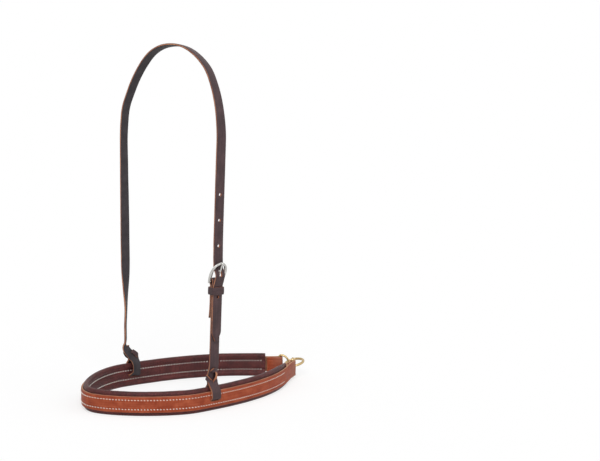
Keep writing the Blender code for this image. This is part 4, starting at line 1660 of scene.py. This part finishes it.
@dataclass
class BuckleSide:
    """Frame of the leaning strap on the buckle side, and the heights of what it carries."""

    lean: float = radians(2.6)
    knot_z: float = 0.048
    knot_offset: float = 0.0014
    bar_z: float = 0.188
    layer_pitch: float = 0.0031
    billet_course: tuple[Pair, ...] = (
        (0.113, 0.0032), (0.057, 0.0032), (0.037, 0.0038), (0.0235, 0.0046), (0.0185, 0.0052),
        (0.0125, 0.0093), (0.0085, 0.0104), (0.0015, 0.0082), (-0.0045, 0.0061))

    def __post_init__(self) -> None:
        """Set up the three directions."""
        point, run, outward = PLAN.slot(Side.NEAR)
        self.outward = outward
        self.across = run * cos(self.lean) - UP * sin(self.lean)
        self.along = UP * cos(self.lean) + run * sin(self.lean)
        self.origin = point + outward * self.knot_offset + UP * self.knot_z

    def at(self, outward: float, height: float, across: float = 0.0) -> Vector:
        """World point at a height above the floor."""
        return (self.origin + self.across * across + self.outward * outward
                + self.along * (height - self.knot_z))

    def matrix(self, height: float, outward: float = 0.0, tilt: float = 0.0) -> Matrix:
        """Placement with X across, Y up along the strap and Z outward.

        Args:
            height: height above the floor.
            outward: outward place.
            tilt: how far Y leans outward, in radians.

        Returns:
            The placement.
        """
        up = self.along * cos(tilt) + self.outward * sin(tilt)
        out = self.outward * cos(tilt) - self.along * sin(tilt)
        matrix = Matrix((up.cross(out), up, out)).transposed().to_4x4()
        matrix.translation = self.at(outward, height)
        return matrix

    @property
    def billet_level(self) -> float:
        """Outward place of the billet below the buckle."""
        return 1.5 * self.layer_pitch

    def billet_outward(self, height: float) -> float:
        """Outward place of the billet.

        Args:
            height: height above the floor.

        Returns:
            The place of its middle.
        """
        rise = height - self.bar_z
        course = (*self.billet_course, (-0.0092, self.billet_level), (-0.2, self.billet_level))
        for (high, high_n), (low, low_n) in zip(course, course[1:]):
            if rise >= low:
                return low_n + (high_n - low_n) * ease((rise - low) / (high - low))
        return self.billet_level


@dataclass
class CrownStrap:
    """The long strap from the far knot over the poll to the billet's point.

    Each twist or fade is where it begins and how long it runs: that of the knot in millimetres.
    """

    wardrobe: Wardrobe
    cheek: BuckleSide
    width: float = 0.0159
    thickness: float = 0.0028
    far_before_slot: float = 0.0061
    far_y: float = 0.103
    far_top_z: float = 0.372
    near_top_z: float = 0.392
    arch_course: tuple[Pair, ...] = (
        (0.1008, 0.4000), (0.0968, 0.4200), (0.0875, 0.4400), (0.0733, 0.4645), (0.0563, 0.4860),
        (0.0370, 0.5035), (0.0130, 0.5140), (-0.0145, 0.5172), (-0.0380, 0.5130),
        (-0.0600, 0.5020), (-0.0775, 0.4865), (-0.0885, 0.4670), (-0.0955, 0.4475),
        (-0.0995, 0.4300), (-0.1018, 0.4120))
    arch_tilt: float = radians(11)
    arch_peak: float = 1.36
    knot_yaw: float = radians(52)
    strap_yaw: float = radians(8)
    arch_yaw: float = radians(17)
    knot_twist: Pair = (52, 14)
    strap_twist: Pair = (0.108, 0.085)
    arch_twist: Pair = (0.240, 0.130)
    bow_fade: Pair = (0.085, 0.035)
    rise_from: float = 0.073
    tip_z: float = 0.101
    point_length: float = 0.0145
    hole_pitch: float = 0.0365
    hole_radius: float = 0.0023
    tongue_hole_above_bar: float = 0.0142
    tongue_hole_length: float = 0.0096
    tongue_hole_drop: float = 0.0022
    holes_above: int = 3
    holes_below: int = 1
    punch_depth: float = 0.012
    pitch: float = 0.0025
    fine_pitch: float = 0.001
    fine_reach: float = 0.04
    foot_bow: float = 0.0014

    def far_rise(self) -> list[StrapRow]:
        """Lay out the far strap.

        Returns:
            Rows from the far slot up to the arch.
        """
        knot = KnotPlace(Side.FAR)
        foot = Vector((knot.point.x - self.far_before_slot, self.far_y, 0))
        shift, level = ((foot - knot.point).dot(way) * 1000 for way in (knot.run, knot.outward))
        rows = []
        for along, outward, height, half, fold in reversed(
                flowing(Knot(self.wardrobe, knot).gather(shift, level), 5)):
            yaw = self.knot_yaw * eased_over(height, self.knot_twist)
            across = level_way(yaw) if height > self.knot_twist[0] else knot.run
            rows.append((knot.at(*mm(along, outward, height)), across, half / 1000, radians(fold)))
        height = self.rise_from
        while height < self.far_top_z:
            yaw = (self.knot_yaw
                   + (self.strap_yaw - self.knot_yaw) * eased_over(height, self.strap_twist)
                   + (self.arch_yaw - self.strap_yaw) * eased_over(height, self.arch_twist))
            bow = knot.run * (-self.foot_bow * (1 - eased_over(height, self.bow_fade)))
            rows.append((foot + bow + UP * height, level_way(yaw), self.width / 2, 0.0))
            height += self.pitch
        return rows

    def arch(self) -> list[StrapRow]:
        """Lay out the strap over the poll.

        Returns:
            Rows from the far strap to the near one.
        """
        x = PLAN.slot(Side.FAR)[0].x - self.far_before_slot
        top = Vector((x, self.far_y, self.far_top_z))
        near_top = self.cheek.at(self.cheek.billet_course[0][1], self.near_top_z)
        marks = [top - UP * 0.03, top]
        for y, height in self.arch_course:
            share = (top.y - y) / (top.y - near_top.y)
            marks.append(Vector((top.x + (near_top.x - top.x) * share, y, height)))
        marks += [near_top, near_top - self.cheek.along * 0.03]
        steps = 7
        places = [Vector(row) for row in flowing(marks, steps)[steps:-steps]]
        far_across = level_way(self.arch_yaw)
        rows = []
        last = len(places) - 1
        for k, place in enumerate(places):
            share = k / last
            tilt = self.arch_tilt * sin(pi * share ** self.arch_peak)
            along = places[min(k + 1, last)] - places[max(k - 1, 0)]
            level = far_across.lerp(self.cheek.across, share)
            outward = along.cross(level).normalized()
            rows.append((place, (level * cos(tilt) - outward * sin(tilt)).normalized(),
                         self.width / 2, 0.0))
        return rows

    def billet(self) -> list[StrapRow]:
        """Lay out the near end.

        Returns:
            Rows down the near cheek to the point.
        """
        rows = []
        height = self.near_top_z - self.pitch
        while height > self.tip_z + self.point_length:
            rows.append((self.cheek.at(self.cheek.billet_outward(height), height),
                         self.cheek.across, self.width / 2, 0.0))
            near_bar = abs(height - self.cheek.bar_z) <= self.fine_reach
            height -= self.fine_pitch if near_bar else self.pitch
        taper = ((1.0, 1.0), (0.9, 0.97), (0.75, 0.87), (0.5, 0.67), (0.25, 0.47), (0.08, 0.34),
                 (0.02, 0.27), (0.0, 0.2))
        for share, width in taper:
            height = self.tip_z + self.point_length * share
            rows.append((self.cheek.at(self.cheek.billet_level, height), self.cheek.across,
                         self.width / 2 * width, 0.0))
        return rows

    def course(self) -> list[Station]:
        """Every station of the strap."""
        return stations_of(self.far_rise() + self.arch() + self.billet(), 2)

    def hole_cutters(self) -> list[Object]:
        """Make punches for the billet's holes.

        Returns:
            One for each hole, from the lowest up.
        """
        edge = self.wardrobe.of("latigo_leather")[Face.EDGE.value]
        punches = []
        for k in range(-self.holes_below, self.holes_above + 1):
            height = self.cheek.bar_z + self.tongue_hole_above_bar + k * self.hole_pitch
            length = 2 * self.hole_radius
            if k == 0:
                height -= self.tongue_hole_drop
                length = self.tongue_hole_length
            across_hole = 2 * self.hole_radius
            outline = [(y, x) for x, y in stadium(length, across_hole * 0.999, 10)]
            place = self.cheek.matrix(height, self.cheek.billet_outward(height))
            punches.append(prism("billet_hole_cut", outline, self.punch_depth, place, edge))
        return punches

    def dress(self) -> None:
        """Build the strap and hand it over."""
        section = StrapSection(self.thickness, corner=0.0007, crease_inset=0.0017)
        strap = loft_strap("crown_strap_leather", self.course(), section,
                           self.wardrobe.of("latigo_leather"), waviness=0.0002)
        punches = self.hole_cutters()
        strap = smooth_shaded(cut(strap, punches), 45)
        remove(punches)
        place_piece(strap, "crown", "latigo_leather", "crown_strap")


@dataclass
class NearHanger:
    """The buckle strap: knot, outer layer, turn over the bar and the turned-back end."""

    wardrobe: Wardrobe
    cheek: BuckleSide
    half: float = 0.00795
    thickness: float = 0.0028
    bar_radius: float = 0.0017
    gap: float = 0.0003
    end_z: float = 0.135
    end_flare: float = 0.0016
    opening_below_bar: float = 0.0062
    tongue_slot: float = 0.0036
    tongue_slot_length: float = 0.0135
    tongue_slot_above_bar: float = 0.0008
    punch_depth: float = 0.014

    def upper_course(self) -> list[Pair]:
        """Lay out the strap above its knot.

        Returns:
            Points as (outward, height), from the turned-back end, over the bar and down.
        """
        layer = self.cheek.layer_pitch / 2
        radius = self.bar_radius + self.gap + self.thickness / 2
        bar = self.cheek.bar_z
        opening = bar - self.opening_below_bar
        rows = [(-layer - self.end_flare, self.end_z),
                (-layer - self.end_flare * 0.45, self.end_z + 0.006),
                (-layer - 0.0001, self.end_z + 0.016), (-layer, self.end_z + 0.028),
                (-layer, opening - 0.003), (-(layer + radius) / 2, opening + 0.002)]
        for degrees in range(200, -21, -20):
            angle = radians(degrees)
            rows.append((radius * cos(angle), bar + radius * sin(angle)))
        rows += [((layer + radius) / 2, opening + 0.002), (layer, opening - 0.003),
                 (layer, 0.150), (layer, 0.120), (layer, 0.095), (layer, 0.075)]
        return rows

    def course(self) -> list[Station]:
        """Lay out the whole strap.

        Returns:
            Its stations.
        """
        rows = []
        for outward, height in flowing(self.upper_course(), 8):
            rows.append((self.cheek.at(outward, height), self.cheek.across, self.half, 0.0))
        knot = KnotPlace(Side.NEAR)
        level = (self.cheek.knot_offset + self.cheek.layer_pitch / 2) * 1000
        gathered = Knot(self.wardrobe, knot).gather(0.0, level)
        for along, outward, height, half, fold in flowing(gathered, 5):
            lean = tan(self.cheek.lean) * max(height - self.cheek.knot_z * 1000, 0)
            rows.append((knot.at(*mm(along + lean, outward, height)), knot.run, half / 1000,
                         radians(fold)))
        return stations_of(rows, 1)

    def dress(self) -> None:
        """Build the strap and hand it over."""
        edge = self.wardrobe.of("latigo_leather")[Face.EDGE.value]
        section = StrapSection(self.thickness, corner=0.0007, crease_inset=0.0017)
        strap = loft_strap("hanger_leather", self.course(), section,
                           self.wardrobe.of("latigo_leather"), waviness=0.0002)
        outline = [(y, x) for x, y in stadium(self.tongue_slot_length, self.tongue_slot)]
        place = self.cheek.matrix(self.cheek.bar_z + self.tongue_slot_above_bar)
        slot = prism("chape_slot_cut", outline, self.punch_depth, place, edge)
        strap = smooth_shaded(cut(strap, [slot], True), 45)
        remove([slot])
        place_piece(strap, "crown", "latigo_leather", "near_hanger")


@dataclass
class Keeper:
    """The loop that holds the billet."""

    wardrobe: Wardrobe
    cheek: BuckleSide
    height: float = 0.0110
    thickness: float = 0.0020
    below_bar: float = 0.0138
    strap_half: float = 0.00795
    strap_thickness: float = 0.0028
    play: float = 0.0005
    corner: float = 0.0022
    corner_steps: int = 8
    side_steps: int = 6
    pitch: float = 0.0012

    def outline(self, half_t: float, half_n: float) -> list[Pair]:
        """Draw the loop's middle line.

        Args:
            half_t: half its size across the strap.
            half_n: half its size through the strap.

        Returns:
            Points round a rectangle with round corners, as (across, outward).
        """
        corners = []
        for quarter, (sign_t, sign_n) in enumerate(((1, 1), (-1, 1), (-1, -1), (1, -1))):
            angles = [radians(90 * quarter + 90 * k / self.corner_steps)
                      for k in range(self.corner_steps + 1)]
            corners.append([(sign_t * (half_t - self.corner) + self.corner * cos(angle),
                             sign_n * (half_n - self.corner) + self.corner * sin(angle))
                            for angle in angles])
        outline = []
        for corner, following in zip(corners, corners[1:] + corners[:1]):
            outline += corner
            outline += [tuple(a + (b - a) * k / self.side_steps
                              for a, b in zip(corner[-1], following[0]))
                        for k in range(1, self.side_steps)]
        return outline

    def course(self) -> list[Station]:
        """Lay out the loop round the layers that it holds.

        Returns:
            Its stations.
        """
        back = -self.cheek.layer_pitch / 2 - self.strap_thickness / 2
        front = self.cheek.billet_level + self.strap_thickness / 2
        half_t = self.strap_half + self.play + self.thickness / 2
        half_n = (front - back) / 2 + self.play + self.thickness / 2
        middle = (front + back) / 2
        level = self.cheek.bar_z - self.below_bar
        centre = self.cheek.at(middle, level)
        places = [self.cheek.at(middle + n, level, t) for t, n in self.outline(half_t, half_n)]
        course = []
        for k, place in enumerate(places):
            tangent = (places[(k + 1) % len(places)] - places[k - 1]).normalized()
            out = tangent.cross(self.cheek.along)
            if out.dot(place - centre) < 0:
                out = -out
            course.append(Station(place, self.cheek.along, out, self.height / 2, 0.0,
                                  k * self.pitch))
        return course

    def dress(self) -> None:
        """Build the loop and hand it over."""
        section = StrapSection(self.thickness, corner=0.0005, crown=0.0003, crease_inset=0.0014)
        keeper = loft_strap("keeper_leather", self.course(), section,
                            self.wardrobe.of("latigo_leather"), True, 0.00008)
        place_piece(keeper, "sliding_keeper", "latigo_leather", "keeper")


# Buckle

@dataclass
class CheekBuckle:
    """The stainless buckle: a stepped bow, its bar and its tongue."""

    wardrobe: Wardrobe
    cheek: BuckleSide
    half_width: float = 0.0150
    inner_half: float = 0.0092
    height: float = 0.0302
    bow_width: float = 0.0050
    foot_width: float = 0.0034
    thickness: float = 0.0026
    tilt: float = radians(24)
    bar_radius: float = 0.0017
    tongue_radius: float = 0.0011
    gap: float = 0.0003
    spring: float = 0.011
    foot: float = -0.0026
    waist_swell: float = 0.0006
    squareness: float = 0.62
    peened_from: float = 0.86
    peened_run: float = 0.15
    tip_past_bow: float = 0.0014
    tip_growth: float = 0.22
    hook_turn: float = radians(290)

    def rims(self, steps: int = 60) -> tuple[list[Vector], list[Vector]]:
        """Draw the bow from the right foot over the top to the left foot.

        Args:
            steps: steps over the round part.

        Returns:
            Points of the outer and of the inner rim.
        """
        outer, inner = [], []
        foot_outer = self.inner_half + self.foot_width
        waist = (self.half_width + foot_outer) / 2 + self.waist_swell
        for k in range(steps + 1):
            angle = pi * k / steps
            cosine, sine = cos(angle), sin(angle)
            rise = (self.height - self.spring) * sine
            outer.append((self.half_width * cosine, self.spring + rise))
            inner_x = copysign(abs(cosine) ** self.squareness, cosine)
            top = self.height - self.bow_width - self.spring
            inner.append((self.inner_half * inner_x, self.spring + top * sine ** self.squareness))
        legs = 8
        outer_leg = flowing([(foot_outer, self.foot), (waist, self.spring * 0.45), outer[0]], legs)
        inner_leg = [(self.inner_half, self.foot + (self.spring - self.foot) * k / (2 * legs))
                     for k in range(2 * legs)]
        outer_leg = outer_leg[:-1]
        outer = outer_leg + outer + [(-x, y) for x, y in reversed(outer_leg)]
        inner = inner_leg + inner + [(-x, y) for x, y in reversed(inner_leg)]
        return ([Vector((x, y, 0)) for x, y in outer], [Vector((x, y, 0)) for x, y in inner])

    def build_bow(self) -> Object:
        """Loft the bow with its stepped bevels.

        Returns:
            The bow.
        """
        half = self.thickness / 2
        profile = ((0.0, -0.55), (0.0, 0.15), (0.06, 0.42), (0.20, 0.62), (0.235, 0.52), (0.27, 0.62),
                   (0.40, 0.98), (0.62, 1.0), (0.74, 0.80), (0.775, 0.66), (0.81, 0.70), (0.94, 0.42),
                   (1.0, 0.1), (1.0, -0.6), (0.9, -0.95), (0.5, -1.0), (0.1, -0.95))
        place = self.cheek.matrix(self.cheek.bar_z, 0.0, self.tilt)
        maker = MeshMaker("buckle_bow")
        rows = []
        for outer, inner in zip(*self.rims()):
            row = []
            for share, level in profile:
                spot = outer.lerp(inner, share) + Vector((0, 0, level * half))
                row.append(maker.point(place @ spot))
            rows.append(row)
        maker.bar(rows)
        return smooth_shaded(maker.done(self.wardrobe.of("stainless")), 32)

    def build_bar(self) -> Object:
        """Make the bar with its peened ends.

        Returns:
            The bar.
        """
        reach = self.inner_half + self.foot_width * 0.75
        path = [self.cheek.at(0.0, self.cheek.bar_z, reach * (2 * k / 20 - 1)) for k in range(21)]

        def radii(share: float) -> float:
            """Full in the middle and domed at both ends."""
            past = max(abs(2 * share - 1) - self.peened_from, 0)
            return self.bar_radius * sqrt(max(1 - past / self.peened_run, 0.08))

        return tube("buckle_bar", path, radii, self.wardrobe.of("stainless"), 20)

    def build_tongue(self) -> Object:
        """Make the tongue, hooked round the bar and resting on the bow with its blunt tip.

        Returns:
            The tongue.
        """
        hook = self.bar_radius + self.gap + self.tongue_radius
        rest = self.thickness / 2 + self.gap + self.tongue_radius
        reach = self.height + self.tip_past_bow
        tilt = self.tilt - asin((hook - rest) / (self.height - self.bow_width))
        path = []
        steps = 30
        for k in range(steps + 1):
            angle = -tilt - self.hook_turn + self.hook_turn * k / steps
            path.append(self.cheek.at(hook * cos(angle), self.cheek.bar_z + hook * sin(angle)))
        shaft = 24
        for k in range(1, shaft + 1):
            run = reach * k / shaft
            path.append(self.cheek.at(hook * cos(-tilt) + run * sin(tilt),
                                      self.cheek.bar_z + hook * sin(-tilt)
                                      + run * cos(tilt)))

        def radii(share: float) -> float:
            """Slim in the hook, fuller at the tip, and rounded off."""
            full = self.tongue_radius * (1.0 + self.tip_growth * ease((share - 0.6) / 0.3))
            return full * sqrt(max(1 - max(share - 0.97, 0) / 0.031, 0.02))

        return tube("tongue", path, radii, self.wardrobe.of("stainless"), 18)

    def dress(self) -> None:
        """Build the buckle and hand it over."""
        place_piece(self.build_bow(), "buckle", "stainless", "buckle_frame")
        place_piece(self.build_bar(), "buckle", "stainless")
        place_piece(self.build_tongue(), "tongue", "stainless", "buckle_tongue")


# Chin fittings

@dataclass
class ChinFittings:
    """The two dees and the ring that joins them."""

    wardrobe: Wardrobe
    wire: float = 0.0016
    depth: float = 0.0150
    strap_half: float = 0.01175
    gap: float = 0.0003
    corner: float = 0.0030
    fold_level: float = 0.0016
    ring_radius: float = 0.0140
    ring_wire: float = 0.0019
    ring_centre_z: float = 0.0205
    ring_tilt: float = radians(14)
    ring_in_dee: float = 0.0104
    ring_joint: Triple = (0.03, 0.36, 0.008)
    ring_wear: Triple = (0.02, 0.9, 0.05)
    dee_turn: float = radians(22)
    dee_joint: Triple = (0.06, 0.09, 0.012)

    def dee_path(self, side: Side) -> list[Vector]:
        """Draw a dee.

        Args:
            side: which dee.

        Returns:
            Its middle line: a straight bar, two corners and a round bow.
        """
        point, run, outward = PLAN.at(side.value * PLAN.half_length)
        bar = point + outward * self.fold_level
        run = run * cos(self.dee_turn) - outward * sin(self.dee_turn)
        half = self.strap_half + self.gap * 2 + self.wire
        steps = 14
        path = [(0.0, (half - self.corner) * (2 * k / steps - 1)) for k in range(steps + 1)]
        corner = [(self.corner * (1 - sin(angle)),
                   half - self.corner + self.corner * cos(angle))
                  for angle in map(radians, (75, 60, 45, 30, 15))]
        path += corner
        bow = 48
        for k in range(bow + 1):
            angle = pi / 2 - pi * k / bow
            path.append((self.corner + (self.depth - self.corner) * cos(angle), half * sin(angle)))
        path += [(out, -height) for out, height in reversed(corner)]
        return [bar + run * out + UP * (PLAN.mid_z + height) for out, height in path]

    def build_dee(self, side: Side) -> Object:
        """Cast one dee.

        Args:
            side: which dee.

        Returns:
            The dee.
        """
        def radii(share: float) -> float:
            """Wire with a swelling where its bar was brazed."""
            return self.wire * (1 + swelling(share, self.dee_joint))

        return tube(f"{side.name.lower()}_dee_brass", self.dee_path(side), radii,
                    self.wardrobe.of("brass"), 18, True)

    def build_ring(self) -> Object:
        """Cast the ring where it passes through both dees.

        Returns:
            The ring.
        """
        point, run, outward = PLAN.at(PLAN.half_length)
        crossing = point + outward * self.fold_level + run * self.ring_in_dee
        reach = sqrt(self.ring_radius ** 2 - crossing.y ** 2)
        forward = Vector((cos(self.ring_tilt), 0, sin(self.ring_tilt)))
        axis = Vector((crossing.x, 0, self.ring_centre_z - reach * sin(self.ring_tilt)))
        centre = axis + forward * reach
        steps = 96
        sideways = Vector((0, 1, 0))
        path = [centre + (forward * cos(tau * k / steps)
                          + sideways * sin(tau * k / steps)) * self.ring_radius
                for k in range(steps)]

        def radii(share: float) -> float:
            """Wire with a brazed joint and a worn place."""
            return self.ring_wire * (1 + swelling(share, self.ring_joint)
                                     - swelling(share, self.ring_wear))

        return tube("chin_ring_brass", path, radii, self.wardrobe.of("brass"), 20, True)

    def dress(self) -> None:
        """Build the fittings and hand them over."""
        place_piece(self.build_dee(Side.NEAR), "near_link", "brass", "near_dee")
        place_piece(self.build_dee(Side.FAR), "far_link", "brass", "far_dee")
        place_piece(self.build_ring(), "ring", "brass", "chin_ring")


# Studio

@dataclass
class Studio:
    """Floor, lamps, world and camera.

    Where the floor is seen directly, a share of it glows, which keeps it white and its shadow faint.
    """

    camera_place: Triple = (-1.6172, -2.5823, 0.7673)
    camera_aim: Triple = (0.603, 0.7805, -0.1643)
    lens: float = 130.9
    sensor: float = 36.0
    floor_size: float = 40.0
    floor_white: Colour = (0.94, 0.94, 0.94)
    floor_share: float = 0.56
    floor_glow: float = 1.12
    ambient: float = 0.46
    key_from: Triple = (-1.2, -1.5, 1.7)
    key_strength: float = 1.8
    key_width: float = 36
    fill_from: Triple = (1.2, -1.8, 1.2)
    fill_strength: float = 0.4
    fill_width: float = 60

    def build_camera(self) -> None:
        """A long lens at the photograph's angle."""
        data = bpy.data.cameras.new("camera")
        data.lens = self.lens
        data.sensor_width = self.sensor
        data.clip_end = 200.0
        camera = bpy.data.objects.new("camera", data)
        camera.location = self.camera_place
        camera.rotation_euler = Vector(self.camera_aim).to_track_quat("-Z", "Y").to_euler()
        bpy.context.scene.collection.objects.link(camera)
        bpy.context.scene.camera = camera

    @staticmethod
    def seen_directly(board: Board) -> NodeSocket:
        """Tell which rays show a surface itself, in the picture or in a reflection.

        Args:
            board: the tree that asks.

        Returns:
            1 for such rays and 0 for all others.
        """
        path = board.add("LightPath", {})
        both = board.sum("MAXIMUM", path.outputs["Is Camera Ray"], path.outputs["Is Glossy Ray"])
        return board.sum("MAXIMUM", both, path.outputs["Is Transmission Ray"])

    def build_floor(self) -> None:
        """A white floor that keeps a faint shadow."""
        board = open_board("floor_white")
        shader = board.tree.nodes["Principled BSDF"]
        board.feed(shader.inputs["Base Color"], (*self.floor_white, 1.0))
        board.feed(shader.inputs["Roughness"], 1.0)
        board.feed(shader.inputs["Specular IOR Level"], 0.0)
        glow = board.add("Emission", {"Strength": self.floor_glow})
        share = board.sum("MULTIPLY", self.seen_directly(board), self.floor_share)
        both = board.add("MixShader", {0: share, 1: shader.outputs[0], 2: glow.outputs[0]})
        board.feed(board.tree.nodes["Material Output"].inputs["Surface"], both.outputs[0])
        maker = MeshMaker("studio_floor")
        half = self.floor_size / 2
        corners = [maker.point(Vector((x * half, y * half, 0.0)))
                   for x, y in ((-1, -1), (1, -1), (1, 1), (-1, 1))]
        maker.cap(corners)
        floor = maker.done([board.owner], False)

    def build_world(self) -> None:
        """Even white surroundings, at full strength only where they are seen."""
        world = bpy.data.worlds.new("studio")
        bpy.context.scene.world = world
        board = Board(world)
        seen = {"Value": self.seen_directly(board), "To Min": self.ambient, "To Max": 1.0}
        level = board.add("MapRange", seen)
        background = board.tree.nodes["Background"]
        board.feed(background.inputs["Color"], (1.0, 1.0, 1.0, 1.0))
        board.feed(background.inputs["Strength"], level.outputs[0])

    def build_lamp(self, name: str, place: Sequence[float], strength: float, width: float) -> None:
        """A soft distant lamp, so that the floor is lit evenly.

        Args:
            name: name of the lamp.
            place: direction that it shines from.
            strength: irradiance in watts per square metre.
            width: how wide it looks, in degrees.
        """
        data = bpy.data.lights.new(name, "SUN")
        data.energy = strength
        data.angle = radians(width)
        lamp = bpy.data.objects.new(name, data)
        lamp.rotation_euler = (-Vector(place)).to_track_quat("-Z", "Y").to_euler()
        bpy.context.scene.collection.objects.link(lamp)

    def dress(self) -> None:
        """Set up the whole studio."""
        self.build_camera()
        self.build_floor()
        self.build_world()
        self.build_lamp("key_lamp", self.key_from, self.key_strength, self.key_width)
        self.build_lamp("fill_lamp", self.fill_from, self.fill_strength, self.fill_width)
        bpy.context.scene.view_settings.view_transform = "Standard"


def main() -> None:
    """Build and dress every sub-assembly."""
    logging.basicConfig(level=logging.INFO, format="%(name)s %(message)s")
    Studio().dress()
    wardrobe = Wardrobe()
    cheek = BuckleSide()
    slots = StrapSlots().cutters(wardrobe.of("russet_leather")[Face.EDGE.value])
    PaddedLining(wardrobe).dress(slots)
    NoseStrap(wardrobe).dress(slots)
    remove(slots)
    Seams(wardrobe).dress()
    CrownStrap(wardrobe, cheek).dress()
    NearHanger(wardrobe, cheek).dress()
    for side in Side:
        Knot(wardrobe, KnotPlace(side)).dress()
    Keeper(wardrobe, cheek).dress()
    CheekBuckle(wardrobe, cheek).dress()
    ChinFittings(wardrobe).dress()
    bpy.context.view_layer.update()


if __name__ == "__main__":
    main()
